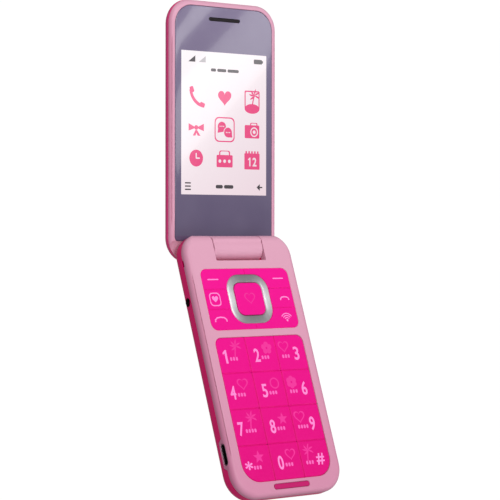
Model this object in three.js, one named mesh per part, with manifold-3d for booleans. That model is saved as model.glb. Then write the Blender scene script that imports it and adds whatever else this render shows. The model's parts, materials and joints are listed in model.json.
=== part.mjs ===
// Clamshell cell phone, lying on its back and opened to its stop.
// +X right, +Y towards the hinge, +Z up out of the keypad. The origin is the middle of the
// flat back of the battery cover. All sizes are millimetres.
import * as THREE from 'three';
import { mergeVertices } from 'three/addons/utils/BufferGeometryUtils.js';
import Module from 'manifold-3d';

const wasm = await Module();
wasm.setup();

// ---------------------------------------------------------------- driving dimensions
const body = {
  width: 54.2,
  length: 108, // of the keypad half
  baseThickness: 10.6,
  lidThickness: 7.3,
  wall: 1.4,
  closedGap: 0.3, // between the two faces when shut
  topCorner: 9.2, // corner radii seen from the front
  bottomCorner: 10.6,
  lidCorner: 10,
};
const edges = {
  baseFront: 2.4,
  lidFront: 2.0,
  backIn: 8.4, // the back edge is an ellipse: this far in ...
  backDeep: 5.0, // ... and this deep
};
const hinge = {
  openAngle: 159.65, // between shut and open
  barrelRadius: 4.73,
  barrelLength: 24.6,
  shoulderReach: 5.5, // base and lid run on past the axis
  lidTail: 5.25,
  troughSpare: 0.53, // between the shoulders' sweep and the trough in the lid
  shoulderRounding: 4,
  neckHalf: 4.2,
  neckFront: 3.2,
  boreRadius: 2.9,
  pinRadius: 1.3,
  pinLength: 3.6,
  cartridgeLength: 14,
  cableRadius: 1.5,
  bushRadius: 2.4,
  cheek: 1.4,
};
const clear = {
  fit: 0.15, // between fixed pieces that meet
  slide: 0.2, // round keys and other moving pieces
  turn: 0.25, // at the ends and round the hinge barrel
};
const split = {
  frameDepth: 3.0, // pink front frame seen on the side of the base
  coverHeight: 2.6, // battery cover seen on the side
  coverFromHinge: 12.5, // the cover stops this far from the hinge axis
  bezelDepth: 1.4,
  floor: 1.2,
};
const keypad = {
  sideMargin: 5.05,
  belowHinge: 9.7, // hinge axis to the navigation panel
  navLength: 25.5,
  strip: 3.0,
  bottomMargin: 6.1,
  navCorner: 3,
  topCorner: 3,
  bottomCorner: 7.5,
  innerCorner: 0.4,
  thickness: 1.2,
  recess: 0.1,
  groove: 0.35,
  bevel: 0.25,
  travel: 0.3,
  underTravel: 0.2,
  plate: 1.4,
};
const nav = {
  width: 20.8,
  height: 20.5,
  corner: 6.6,
  rim: 3.3,
  proud: 0.05,
  gimbal: 0.25,
  gimbalGap: 0.3,
  sideRow: 8.6, // height of the upper and lower pairs of keys
};
const bumper = { length: 17.5, width: 2, depth: 0.7, proud: 0.15, fromEnd: 3.7 };
const screen = {
  topMargin: 20.5, // far end of the lid to the display's lit area
  footMargin: 22.15, // hinge axis to the lit area
  sideMargin: 2.9, // edge of the window to the lit area: leaves 43.2 x 57.6 lit
  moduleBorder: 1.2,
  moduleThickness: 1.9,
  windowThickness: 0.85,
  windowSide: 2.6,
  windowTop: 2.3,
  windowFoot: 3.5, // hinge axis to the foot of the window
  windowCorner: 8.2,
  windowFootCorner: 1.6,
};
const earpiece = { fromTop: 7.2, slot: 15.8, slotHeight: 1.5, mesh: 0.5, unit: [12, 5, 2.2] };
const rear = {
  windowSide: 10.1,
  windowLength: 58,
  windowTop: 9.6,
  windowThickness: 0.85,
  corner: 6,
  display: [27, 34, 1.0],
  cameraRadius: 3.6,
  flashRadius: 1.6,
};
const ports = {
  usbFromEnd: 18.6, // bottom end to the middle of the data socket
  usbWidth: 8.4,
  usbHeight: 2.6,
  usbDepth: 6.8,
  usbDrop: 3.0,
  jackFromHinge: 21.7,
  jackRadius: 1.7,
  jackBody: [12.4, 6.2, 4.0],
  jackDrop: 5.6,
  strapFromHinge: 6.6,
  strapSlot: [2.7, 1.1, 1.9],
};
const inside = {
  board: 0.8,
  underKeys: 2.5, // keys' underside to the top of the board
  domes: 0.2,
  mat: 0.6,
  matDrop: 1.3, // keys' underside to the mat's web
  sideOfBoard: 4.1,
  sideOfBattery: 5.6,
  batteryGap: 3.8, // loudspeaker to battery
  underBoard: 0.4,
  speaker: [24, 12],
  speakerFromEnd: 4.2,
  connector: [12, 3.4],
  sim: [14, 12.6],
  screwHead: 1.35,
  screwShank: 0.7,
  bossRadius: 1.7,
};
const rocker = { length: 14, height: 2.6, proud: 0.5, depth: 1.2, fromHinge: 29.5 };

// ---------------------------------------------------------------- derived places
const half = body.width / 2;
const baseFoot = -body.length / 2;
const baseHead = body.length / 2;
const hingeY = baseHead - hinge.shoulderReach;
const hingeZ = body.baseThickness - hinge.barrelRadius;
const coverEnd = hingeY - split.coverFromHinge;
const sweep = hinge.shoulderRounding + Math.hypot(
  hinge.shoulderReach - hinge.shoulderRounding, hinge.barrelRadius - hinge.shoulderRounding,
);
const troughRadius = sweep + hinge.troughSpare;
const seamZ = body.baseThickness - split.frameDepth;
const plateBottom = body.baseThickness - keypad.plate;
const cavityHead = hingeY - hinge.barrelRadius - clear.turn - hinge.cheek;
const keyHalf = half - keypad.sideMargin;
const navTop = hingeY - keypad.belowHinge;
const navFoot = navTop - keypad.navLength;
const padTop = navFoot - keypad.strip;
const padFoot = baseFoot + keypad.bottomMargin;
const pitchX = (2 * keyHalf) / 3;
const pitchY = (padTop - padFoot) / 4;
const keyTop = body.baseThickness - keypad.recess;
const keyBottom = keyTop - keypad.thickness;
const navY = (navTop + navFoot) / 2;
const slotHalf = hinge.barrelLength / 2 + clear.turn;
const boardTop = keyBottom - inside.underKeys;
const boardBottom = boardTop - inside.board;
const boardHalf = half - body.wall - inside.sideOfBoard;
const usbY = baseFoot + ports.usbFromEnd;
const usbZ = body.baseThickness - ports.usbDrop;
const jackY = hingeY - ports.jackFromHinge;
const jackZ = body.baseThickness - ports.jackDrop;
const rockerY = hingeY - rocker.fromHinge;
const rockerZ = hingeZ;
const speakerY = baseFoot + inside.speakerFromEnd + inside.speaker[1] / 2;
const simFoot = coverEnd - 0.4 - inside.sim[1];
const connectorFoot = simFoot - 1 - inside.connector[1];
const batteryHalf = half - inside.sideOfBattery;
const batteryFoot = speakerY + inside.speaker[1] / 2 + inside.batteryGap;
const batteryHead = connectorFoot - 0.6;

// lid frame: the origin is the hinge axis, +Y up the lid, +Z out of the glass
const lidReach = hingeY - baseFoot - 2.25; // leaves a thumb lip on the base
const face = -(hinge.barrelRadius + body.closedGap);
const lidBack = face - body.lidThickness;
const lidSeam = face - split.bezelDepth;
const litTop = lidReach - screen.topMargin;
const litFoot = screen.footMargin;
const ledgeZ = face - screen.windowThickness - clear.fit;
const shellFloor = lidBack + split.floor + 0.2;
const windowHalf = half - screen.windowSide;
const windowHead = lidReach - screen.windowTop;
const windowCorners = [
  screen.windowCorner, screen.windowCorner, screen.windowFootCorner, screen.windowFootCorner,
];
const earY = lidReach - earpiece.fromTop;

// ---------------------------------------------------------------- shapes
function roundedRect(x0, y0, x1, y1, corners) {
  const [tl, tr, br, bl] = Array.isArray(corners) ? corners : Array(4).fill(corners);
  const quarter = Math.PI / 2;
  const shape = new THREE.Shape();
  shape.moveTo(x0 + bl, y0);
  shape.lineTo(x1 - br, y0);
  shape.absarc(x1 - br, y0 + br, br, -quarter, 0);
  shape.lineTo(x1, y1 - tr);
  shape.absarc(x1 - tr, y1 - tr, tr, 0, quarter);
  shape.lineTo(x0 + tl, y1);
  shape.absarc(x0 + tl, y1 - tl, tl, quarter, 2 * quarter);
  shape.lineTo(x0, y0 + bl);
  shape.absarc(x0 + bl, y0 + bl, bl, 2 * quarter, 3 * quarter);
  return shape;
}

function centredRect(x, y, width, height, corners) {
  return roundedRect(x - width / 2, y - height / 2, x + width / 2, y + height / 2, corners);
}

// A plate between two heights; edge = { size, height, steps } rounds both of its rims.
function plate(shape, z0, z1, { edge = null, arcSteps = 4 } = {}) {
  const rim = edge ? edge.height : 0;
  const geometry = new THREE.ExtrudeGeometry(shape, {
    depth: z1 - z0 - 2 * rim,
    curveSegments: arcSteps,
    bevelEnabled: Boolean(edge),
    bevelThickness: rim,
    bevelSize: edge ? edge.size : 0,
    bevelOffset: edge ? -edge.size : 0,
    bevelSegments: edge ? edge.steps : 0,
  });
  geometry.translate(0, 0, z0 + rim);
  return geometry;
}

function box(x0, x1, y0, y1, z0, z1) {
  const geometry = new THREE.BoxGeometry(x1 - x0, y1 - y0, z1 - z0);
  geometry.translate((x0 + x1) / 2, (y0 + y1) / 2, (z0 + z1) / 2);
  return geometry;
}

function rodAlongX(radius, x0, x1, y = 0, z = 0, sides = 24) {
  const geometry = new THREE.CylinderGeometry(radius, radius, x1 - x0, sides);
  geometry.rotateZ(Math.PI / 2);
  geometry.translate((x0 + x1) / 2, y, z);
  return geometry;
}

function post(radius, x, y, z0, z1, sides = 12) {
  const geometry = new THREE.CylinderGeometry(radius, radius, z1 - z0, sides);
  geometry.rotateX(Math.PI / 2);
  geometry.translate(x, y, (z0 + z1) / 2);
  return geometry;
}

// An outline drawn in Y and Z, carried along X from x0 to x1.
function alongX(shape, x0, x1, arcSteps = 6) {
  const geometry = plate(shape, x0, x1, { arcSteps });
  const turn = new THREE.Matrix4().makeBasis(
    new THREE.Vector3(0, 1, 0),
    new THREE.Vector3(0, 0, 1),
    new THREE.Vector3(1, 0, 0),
  );
  return geometry.applyMatrix4(turn);
}

// ---------------------------------------------------------------- joins and cuts
function toSolid(shape) {
  if (shape instanceof wasm.Manifold) return shape;
  const geometry = shape.clone();
  geometry.deleteAttribute('normal');
  geometry.deleteAttribute('uv');
  const merged = mergeVertices(geometry, 1e-5);
  const mesh = new wasm.Mesh({
    numProp: 3,
    vertProperties: Float32Array.from(merged.attributes.position.array),
    triVerts: Uint32Array.from(merged.index.array),
  });
  return new wasm.Manifold(mesh);
}

const join = (first, ...rest) => rest.reduce((sum, next) => sum.add(toSolid(next)), toSolid(first));
const cut = (first, ...rest) => rest.reduce((left, next) => left.subtract(toSolid(next)), toSolid(first));
const keep = (first, ...rest) => rest.reduce((left, next) => left.intersect(toSolid(next)), toSolid(first));

function toGeometry(shape) {
  if (!(shape instanceof wasm.Manifold)) return shape;
  const mesh = shape.getMesh();
  const geometry = new THREE.BufferGeometry();
  geometry.setAttribute('position', new THREE.BufferAttribute(mesh.vertProperties, 3));
  geometry.setIndex(new THREE.BufferAttribute(mesh.triVerts, 1));
  geometry.computeVertexNormals();
  return geometry;
}

// ---------------------------------------------------------------- materials
const finish = (color, roughness, metalness = 0) => (
  new THREE.MeshStandardMaterial({ color, roughness, metalness })
);
const palePink = finish('#e3b3c8', 0.42);
const magenta = finish('#b4206c', 0.35);
const hotPink = finish('#f0289a', 0.35);
const darkPink = finish('#b31a66', 0.6);
const glassGrey = finish('#77708c', 0.06);
const screenWhite = finish('#f6e9ee', 0.3);
const silver = finish('#c4c3c6', 0.25, 1);
const steel = finish('#b4b4b8', 0.4, 1);
const darkPlastic = finish('#2a2528', 0.5);
const boardGreen = finish('#1f5a3a', 0.6);
const copperFlex = finish('#b5722e', 0.5);
const batteryGrey = finish('#d7d7da', 0.6);
const clearSilicone = finish('#e9dfe4', 0.7);

// ---------------------------------------------------------------- assembly
const phone = new THREE.Group();
const lid = new THREE.Group();
lid.position.set(0, hingeY, hingeZ);
lid.rotation.x = THREE.MathUtils.degToRad(180 - hinge.openAngle);
phone.add(lid);

function piece(parent, name, shape, material) {
  const mesh = new THREE.Mesh(toGeometry(shape), material);
  mesh.name = name;
  parent.add(mesh);
}

// ---------------------------------------------------------------- outer forms
function pillow({ outline, top, bottom, frontRound }) {
  const front = { size: frontRound, height: frontRound, steps: 3 };
  const back = { size: edges.backIn, height: edges.backDeep, steps: 4 };
  const spare = 1;
  const frontForm = plate(outline, bottom - frontRound - spare, top, { edge: front, arcSteps: 6 });
  const backForm = plate(outline, bottom, top + edges.backDeep + spare, { edge: back, arcSteps: 6 });
  return keep(frontForm, backForm);
}

function makeBaseForm() {
  const outline = roundedRect(-half, baseFoot, half, baseHead, [
    body.topCorner, body.topCorner, body.bottomCorner, body.bottomCorner,
  ]);
  const form = pillow({
    outline, top: body.baseThickness, bottom: 0, frontRound: edges.baseFront,
  });
  const side = roundedRect(baseFoot - 1, -1, baseHead, body.baseThickness, [
    0, hinge.shoulderRounding, 0, 0,
  ]);
  const barrelSlot = box(
    -slotHalf, slotHalf, hingeY - hinge.barrelRadius - clear.turn, baseHead + 1,
    -1, body.baseThickness + 1,
  );
  return cut(keep(form, alongX(side, -half - 1, half + 1)), barrelSlot);
}

function makeLidForm() {
  const outline = roundedRect(-half, -hinge.lidTail, half, lidReach, body.lidCorner);
  return pillow({ outline, top: face, bottom: lidBack, frontRound: edges.lidFront });
}

const baseForm = makeBaseForm();
const lidForm = makeLidForm();
const far = 200; // longer than the phone, for cutting planes
const slab = (y0, y1, z0, z1) => box(-far, far, y0, y1, z0, z1);

function baseInside(inset, z0, z1) {
  return plate(
    roundedRect(-half + inset, baseFoot + inset, half - inset, cavityHead, [
      1, 1, body.bottomCorner - inset, body.bottomCorner - inset,
    ]),
    z0, z1,
  );
}

function lidInside(inset, z0, z1) {
  return plate(
    roundedRect(
      -half + inset, -hinge.lidTail + inset, half - inset, lidReach - inset, body.lidCorner - inset,
    ),
    z0, z1,
  );
}

// ---------------------------------------------------------------- fasteners
const screwX = half - body.wall - 1.9;
const screwRows = [baseFoot + 10, coverEnd - 3];
const screwHeadZ = split.coverHeight + clear.fit + 0.15;

function screw(x, y, headZ, headHeight, tipZ) {
  const down = tipZ < headZ ? -1 : 1;
  const head = post(
    inside.screwHead, x, y, Math.min(headZ, headZ - down * headHeight),
    Math.max(headZ, headZ - down * headHeight),
  );
  const overlap = 0.2;
  const shankStart = headZ - down * overlap;
  const shank = post(
    inside.screwShank, x, y, Math.min(shankStart, tipZ), Math.max(shankStart, tipZ), 10,
  );
  return join(head, shank);
}

function eachBaseScrew(make) {
  const made = [];
  for (const y of screwRows) {
    for (const side of [-1, 1]) made.push(make(side * screwX, y));
  }
  return made;
}

// ---------------------------------------------------------------- keys
const opening = clear.slide / 2;

function navOpening(spare) {
  return roundedRect(
    -keyHalf - spare, navFoot - spare, keyHalf + spare, navTop + spare, keypad.navCorner,
  );
}

function padOpening(spare) {
  return roundedRect(-keyHalf - spare, padFoot - spare, keyHalf + spare, padTop + spare, [
    keypad.topCorner, keypad.topCorner, keypad.bottomCorner, keypad.bottomCorner,
  ]);
}

const ringShape = (grow) => centredRect(
  0, navY, nav.width + 2 * grow, nav.height + 2 * grow, nav.corner + grow,
);

function addDigitKeys() {
  const names = [
    ['key_1', 'key_2', 'key_3'],
    ['key_4', 'key_5', 'key_6'],
    ['key_7', 'key_8', 'key_9'],
    ['key_star', 'key_0', 'key_hash'],
  ];
  names.forEach((row, down) => {
    row.forEach((name, across) => {
      const x = (across - 1) * pitchX;
      const y = padTop - (down + 0.5) * pitchY;
      const corners = Array(4).fill(keypad.innerCorner);
      if (down === 0 && across === 0) corners[0] = keypad.topCorner;
      if (down === 0 && across === 2) corners[1] = keypad.topCorner;
      if (down === 3 && across === 2) corners[2] = keypad.bottomCorner;
      if (down === 3 && across === 0) corners[3] = keypad.bottomCorner;
      const shape = centredRect(x, y, pitchX - keypad.groove, pitchY - keypad.groove, corners);
      const arcSteps = Math.max(...corners) > 1 ? 4 : 1;
      const edge = { size: keypad.bevel, height: keypad.bevel, steps: 1 };
      piece(phone, name, plate(shape, keyBottom, keyTop, { edge, arcSteps }), hotPink);
    });
  });
}

function addFunctionKeys() {
  const whole = plate(navOpening(-clear.slide / 2), keyBottom, keyTop, {
    edge: { size: keypad.bevel, height: keypad.bevel, steps: 1 },
  });
  const island = cut(whole, plate(ringShape(clear.slide), keyBottom - 1, keyTop + 1, { arcSteps: 5 }));
  const gap = keypad.groove / 2;
  const rows = [
    ['softkey_left', 'softkey_right', navTop - nav.sideRow + gap, navTop],
    ['shortcut_key', 'end_key', navFoot + nav.sideRow + gap, navTop - nav.sideRow - gap],
    ['call_key', 'sound_key', navFoot, navFoot + nav.sideRow - gap],
  ];
  for (const [left, right, y0, y1] of rows) {
    const range = [y0, y1, keyBottom - 1, keyTop + 1];
    piece(phone, left, keep(island, box(-keyHalf, -gap, ...range)), hotPink);
    piece(phone, right, keep(island, box(gap, keyHalf, ...range)), hotPink);
  }
}

function addNavigation() {
  const top = body.baseThickness + nav.proud;
  const edge = { size: 0.5, height: 0.3, steps: 2 };
  const hole = centredRect(
    0, navY, nav.width - 2 * nav.rim, nav.height - 2 * nav.rim, nav.corner - nav.rim * 0.9,
  );
  const ring = cut(
    plate(ringShape(0), keyBottom, top, { edge, arcSteps: 5 }),
    plate(hole, keyBottom - 1, top + 1, { arcSteps: 4 }),
  );
  piece(phone, 'nav_ring', ring, silver);

  const centre = centredRect(
    0, navY, nav.width - 2 * nav.rim - 2 * clear.slide, nav.height - 2 * nav.rim - 2 * clear.slide,
    nav.corner - nav.rim * 0.9 - clear.slide,
  );
  const centreEdge = { size: keypad.bevel, height: keypad.bevel, steps: 1 };
  piece(phone, 'nav_center_key', plate(centre, keyBottom, keyTop, { edge: centreEdge }), hotPink);

  const gimbalTop = keyBottom - nav.gimbalGap;
  const inset = 1;
  const gimbal = cut(
    plate(ringShape(-inset), gimbalTop - nav.gimbal, gimbalTop, { arcSteps: 3 }),
    plate(hole, keyBottom - 2, keyBottom, { arcSteps: 3 }),
  );
  piece(phone, 'nav_gimbal_plate', gimbal, steel);
}

// ---------------------------------------------------------------- base housings
const usbRound = ports.usbHeight / 2;

function slotAlongX(y, z, width, height, x0, x1) {
  const round = Math.min(width, height) / 2 - 0.01;
  return alongX(centredRect(y, z, width, height, round), x0, x1, 3);
}

const shoulderBores = [
  rodAlongX(hinge.pinRadius + clear.fit, slotHalf - 1, slotHalf + hinge.pinLength, hingeY, hingeZ, 16),
  rodAlongX(hinge.bushRadius, -slotHalf - hinge.pinLength, -slotHalf + 1, hingeY, hingeZ, 16),
];
const usbTunnel = slotAlongX(
  usbY, usbZ, ports.usbWidth + 2 * clear.fit, ports.usbHeight + 2 * clear.fit, -half - 2, -half + 3,
);
const strapSlot = box(
  -half - 1, -half + ports.strapSlot[2],
  hingeY - ports.strapFromHinge - ports.strapSlot[0] / 2,
  hingeY - ports.strapFromHinge + ports.strapSlot[0] / 2,
  seamZ - ports.strapSlot[1] / 2, seamZ + ports.strapSlot[1] / 2,
);

// The front frame dips round the data socket with sloping ends.
function usbDip(grow) {
  const bottom = usbZ - usbRound - 0.5 - grow;
  const flat = ports.usbWidth / 2 + 0.8 + grow;
  const slope = 1.6;
  const shape = new THREE.Shape();
  shape.moveTo(usbY - flat, bottom);
  shape.lineTo(usbY + flat, bottom);
  shape.lineTo(usbY + flat + slope, seamZ + 1);
  shape.lineTo(usbY - flat - slope, seamZ + 1);
  shape.closePath();
  return alongX(shape, -half - 1, -half + body.wall);
}

function addKeypadFrame() {
  const shellTop = keep(baseForm, slab(-far, far, seamZ, far));
  const dip = keep(baseForm, usbDip(0));
  const bosses = eachBaseScrew((x, y) => keep(
    join(
      post(inside.bossRadius, x, y, boardTop + 0.3, plateBottom + 0.3),
      box(Math.min(x, Math.sign(x) * (half - 1)), Math.max(x, Math.sign(x) * (half - 1)),
        y - 1, y + 1, seamZ, plateBottom + 0.3),
    ), baseForm,
  ));
  const hollow = cut(shellTop, baseInside(body.wall, seamZ - 1, plateBottom));
  const bores = eachBaseScrew((x, y) => (
    post(inside.screwShank + clear.fit, x, y, boardTop - 1, plateBottom - 0.1, 10)
  ));
  const bumperSlot = plate(
    centredRect(
      0, baseFoot + bumper.fromEnd, bumper.length + 2 * clear.fit, bumper.width + 2 * clear.fit,
      bumper.width / 2,
    ),
    body.baseThickness - bumper.depth - clear.fit, body.baseThickness + 1,
  );
  const frame = cut(
    join(hollow, dip, ...bosses), ...bores, ...shoulderBores, bumperSlot, usbTunnel, strapSlot,
    plate(navOpening(opening), plateBottom - 1, body.baseThickness + 1),
    plate(padOpening(opening), plateBottom - 1, body.baseThickness + 1),
  );
  piece(phone, 'keypad_frame', frame, palePink);
}

const coverTop = split.coverHeight;
const housingBottom = split.coverHeight + clear.fit;
const housingTop = seamZ - clear.fit;
const housingFloor = housingBottom + split.floor;

const jackBox = (grow) => box(
  -half + 0.4, -half + 0.4 + ports.jackBody[0] + grow,
  jackY - ports.jackBody[1] / 2 - grow, jackY + ports.jackBody[1] / 2 + grow,
  jackZ - ports.jackBody[2] / 2 - grow, jackZ + ports.jackBody[2] / 2 + grow,
);

function batteryBay() {
  const spare = 2 * clear.slide;
  return box(
    -batteryHalf - spare, batteryHalf + spare, batteryFoot - spare, batteryHead + spare, 0, far,
  );
}

function speakerShape(grow) {
  const [width, length] = inside.speaker;
  return centredRect(0, speakerY, width + 2 * grow, length + 2 * grow, 2 + grow);
}

function addRearHousing() {
  const middle = keep(baseForm, slab(-far, far, housingBottom, housingTop));
  const hingeEnd = keep(baseForm, slab(coverEnd + clear.fit, far, -1, housingTop));
  const counterbores = eachBaseScrew((x, y) => join(
    post(inside.screwHead + clear.fit, x, y, housingBottom - 1, screwHeadZ + 0.75),
    post(inside.screwShank + clear.fit, x, y, housingBottom - 1, housingFloor + 1, 10),
  ));
  const jackHole = rodAlongX(ports.jackRadius + 0.1, -half - 1, -half + 2, jackY, jackZ, 16);
  const rockerHole = box(
    half - body.wall - 1, half + 1,
    rockerY - rocker.length / 2 - 0.3, rockerY + rocker.length / 2 + 0.3,
    rockerZ - rocker.height / 2 - clear.fit, rockerZ + rocker.height / 2 + clear.fit,
  );
  const housing = cut(
    join(middle, hingeEnd),
    baseInside(body.wall, housingFloor, far),
    batteryBay(), plate(speakerShape(2 * clear.fit), 0, far),
    ...counterbores, ...shoulderBores, jackHole, jackBox(clear.fit), rockerHole,
    usbDip(clear.fit), usbTunnel, strapSlot,
  );
  piece(phone, 'rear_housing', housing, magenta);
}

function addBatteryCover() {
  const pocketInset = 4.3;
  const end = coverEnd - body.wall;
  const pocket = plate(
    roundedRect(-half + pocketInset, baseFoot + pocketInset, half - pocketInset, end, [
      1, 1, body.bottomCorner - pocketInset, body.bottomCorner - pocketInset,
    ]),
    split.floor, far,
  );
  const slotPitch = 2.4;
  const grille = [-1, 0, 1].map((row) => (
    plate(centredRect(0, speakerY + slotPitch * row, 12, 1, 0.45), -1, far, { arcSteps: 2 })
  ));
  const cover = cut(keep(baseForm, slab(-far, coverEnd, -1, coverTop)), pocket, ...grille);
  piece(phone, 'battery_cover', cover, magenta);
}

function addBumper() {
  const z = body.baseThickness;
  const strip = plate(
    centredRect(0, baseFoot + bumper.fromEnd, bumper.length, bumper.width, bumper.width / 2 - 0.05),
    z - bumper.depth, z + bumper.proud, { edge: { size: 0.2, height: 0.12, steps: 1 } },
  );
  piece(phone, 'closing_bumper', strip, darkPink);
}

function addVolumeRocker() {
  const key = alongX(
    centredRect(rockerY, rockerZ, rocker.length, rocker.height, 1.1),
    half - rocker.depth, half + rocker.proud, 3,
  );
  piece(phone, 'volume_rocker', key, magenta);
}

// ---------------------------------------------------------------- inside the base
function addBoardAndPorts() {
  const usbNotch = box(
    -far, -half + ports.usbDepth + 0.6, usbY - ports.usbWidth / 2 - 0.4, usbY + ports.usbWidth / 2 + 0.4,
    -far, far,
  );
  const flatBoard = plate(
    roundedRect(-boardHalf, baseFoot + 8.2, boardHalf, cavityHead - 2, [1, 1, 5, 5]),
    boardBottom, boardTop, { arcSteps: 2 },
  );
  piece(phone, 'main_circuit_board', cut(flatBoard, usbNotch, jackBox(0.3)), boardGreen);

  const domes = plate(
    roundedRect(-boardHalf, padFoot + 1.5, boardHalf, navTop - 0.8, [1, 1, 5, 5]),
    boardTop + clear.fit, boardTop + clear.fit + inside.domes, { arcSteps: 2 },
  );
  piece(phone, 'dome_sheet', cut(domes, usbNotch, jackBox(0.3)), steel);

  const matTop = keyBottom - inside.matDrop;
  const bossTop = keyBottom - keypad.travel - keypad.underTravel;
  const matInset = 0.6;
  const web = plate(
    roundedRect(-keyHalf + matInset, padFoot + matInset, keyHalf - matInset, navTop - matInset, [
      2, 2, keypad.bottomCorner - 1, keypad.bottomCorner - 1,
    ]),
    matTop - inside.mat, matTop, { arcSteps: 2 },
  );
  const bosses = [];
  for (let down = 0; down < 4; down += 1) {
    for (let across = -1; across <= 1; across += 1) {
      const x = across * pitchX;
      const y = padTop - (down + 0.5) * pitchY;
      bosses.push(box(x - 3, x + 3, y - 2.2, y + 2.2, matTop - inside.mat / 2, bossTop));
    }
  }
  piece(phone, 'keypad_mat', cut(join(web, ...bosses), usbNotch), clearSilicone);

  const usb = slotAlongX(
    usbY, usbZ, ports.usbWidth, ports.usbHeight, -half + 0.2, -half + ports.usbDepth,
  );
  const mouth = slotAlongX(
    usbY, usbZ, ports.usbWidth - 0.6, ports.usbHeight - 0.6, -half - 1, -half + ports.usbDepth - 1,
  );
  const tongue = box(
    -half + 1.2, -half + ports.usbDepth - 0.5, usbY - 3.3, usbY + 3.3, usbZ - 0.35, usbZ + 0.35,
  );
  piece(phone, 'usb_socket', join(cut(usb, mouth), tongue), steel);

  const bore = rodAlongX(ports.jackRadius, -half - 1, -half + ports.jackBody[0] - 2, jackY, jackZ, 16);
  piece(phone, 'audio_jack', cut(jackBox(0), bore, slab(-far, far, -far, jackZ - 2.0)), darkPlastic);
}

function addBaseInternals() {
  piece(phone, 'battery', plate(
    roundedRect(-batteryHalf, batteryFoot, batteryHalf, batteryHead, 2),
    split.floor + clear.slide, boardBottom - inside.underBoard, { arcSteps: 2 },
  ), batteryGrey);

  const onFloor = housingFloor + clear.slide;
  const underBoard = boardBottom - clear.fit;
  const [plugWidth, plugLength] = inside.connector;
  piece(phone, 'battery_connector', box(
    -plugWidth / 2, plugWidth / 2, connectorFoot, connectorFoot + plugLength, onFloor, underBoard,
  ), darkPlastic);

  const simLeft = -6;
  piece(phone, 'sim_socket', box(
    simLeft, simLeft + inside.sim[0], simFoot, simFoot + inside.sim[1], onFloor, underBoard,
  ), steel);

  piece(phone, 'loudspeaker', plate(
    speakerShape(0), housingBottom + 0.1, boardBottom - inside.underBoard, { arcSteps: 2 },
  ), darkPlastic);

  const microphoneX = boardHalf - 4.7;
  piece(phone, 'microphone', box(
    microphoneX - 1.5, microphoneX + 1.5, baseFoot + 9, baseFoot + 11.4, onFloor, underBoard,
  ), steel);

  const motorRadius = (boardBottom - housingFloor) / 2 - 0.12;
  const motor = new THREE.CylinderGeometry(motorRadius, motorRadius, 10, 12);
  motor.translate(boardHalf - 6.6, simFoot + 6, (housingFloor + boardBottom) / 2);
  piece(phone, 'vibration_motor', motor, steel);

  eachBaseScrew((x, y) => [x, y]).forEach(([x, y], index) => {
    piece(phone, `base_screw_${index + 1}`, screw(
      x, y, screwHeadZ + 0.65, 0.65, plateBottom - 0.5,
    ), steel);
  });
}

// ---------------------------------------------------------------- hinge
function addHinge() {
  const barrelHalf = hinge.barrelLength / 2;
  const cartridgeEnd = barrelHalf - 0.3;
  piece(lid, 'hinge_cartridge', rodAlongX(
    hinge.boreRadius - clear.fit, cartridgeEnd - hinge.cartridgeLength, cartridgeEnd,
  ), steel);
  piece(phone, 'hinge_cam_pin', rodAlongX(
    hinge.pinRadius, cartridgeEnd + 0.15, slotHalf + hinge.pinLength - clear.fit, hingeY, hingeZ, 16,
  ), steel);
  const bushIn = hinge.cableRadius + 0.3;
  const bush = cut(
    rodAlongX(
      hinge.bushRadius - clear.fit, -slotHalf - hinge.pinLength + clear.fit, -barrelHalf, hingeY, hingeZ, 20,
    ),
    rodAlongX(bushIn, -half, 0, hingeY, hingeZ, 16),
  );
  piece(phone, 'hinge_bush', bush, darkPlastic);
  piece(lid, 'hinge_cable', rodAlongX(
    hinge.cableRadius, -slotHalf - hinge.pinLength + 0.4, cartridgeEnd - hinge.cartridgeLength - 0.5, 0, 0, 14,
  ), copperFlex);
}

// ---------------------------------------------------------------- lid
const lidScrewPlaces = [-1, 1].map((side) => [side * (windowHalf - 2.6), screen.windowFoot + 3.6]);
const frontDisplayHalf = windowHalf - screen.sideMargin + screen.moduleBorder;
const openingFoot = litFoot - 9;
const openingHead = windowHead - 1.6;

function addLidBezel() {
  const barrelHalf = hinge.barrelLength / 2;
  const rim = keep(lidForm, slab(-far, far, lidSeam, far));
  const deepen = keep(
    lidInside(body.wall + clear.turn, lidSeam - 1.8, lidSeam + 0.3),
    slab(-far, screen.windowFoot + 0.4, -far, far),
  );
  const neck = box(-barrelHalf, barrelHalf, -hinge.neckHalf, hinge.neckFront, lidSeam, 0);
  const barrel = rodAlongX(hinge.barrelRadius, -barrelHalf, barrelHalf, 0, 0, 32);
  const bosses = lidScrewPlaces.map(([x, y]) => post(2.1, x, y, lidSeam - 1.5, lidSeam + 0.2));
  const troughs = [[-half - 1, -barrelHalf], [barrelHalf, half + 1]].map(([x0, x1]) => (
    rodAlongX(troughRadius, x0, x1, 0, 0, 40)
  ));
  const windowSeat = plate(
    roundedRect(
      -windowHalf - clear.fit, screen.windowFoot - clear.fit, windowHalf + clear.fit,
      windowHead + clear.fit, windowCorners,
    ),
    ledgeZ, face + 1,
  );
  const displayHole = plate(
    roundedRect(-windowHalf + 1.4, openingFoot, windowHalf - 1.4, openingHead, 5),
    lidSeam - 4, face + 1, { arcSteps: 2 },
  );
  const screwHoles = lidScrewPlaces.map(([x, y]) => join(
    post(inside.screwHead + clear.fit, x, y, ledgeZ - 1.1, face),
    post(inside.screwShank + clear.fit, x, y, lidSeam - 3, face, 10),
  ));
  const form = cut(join(rim, deepen, ...bosses), ...troughs, windowSeat, displayHole, ...screwHoles);
  const bezel = cut(
    join(form, cut(join(neck, barrel), windowSeat)),
    rodAlongX(hinge.boreRadius, -half, half),
  );
  piece(lid, 'lid_bezel', bezel, palePink);
}

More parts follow.
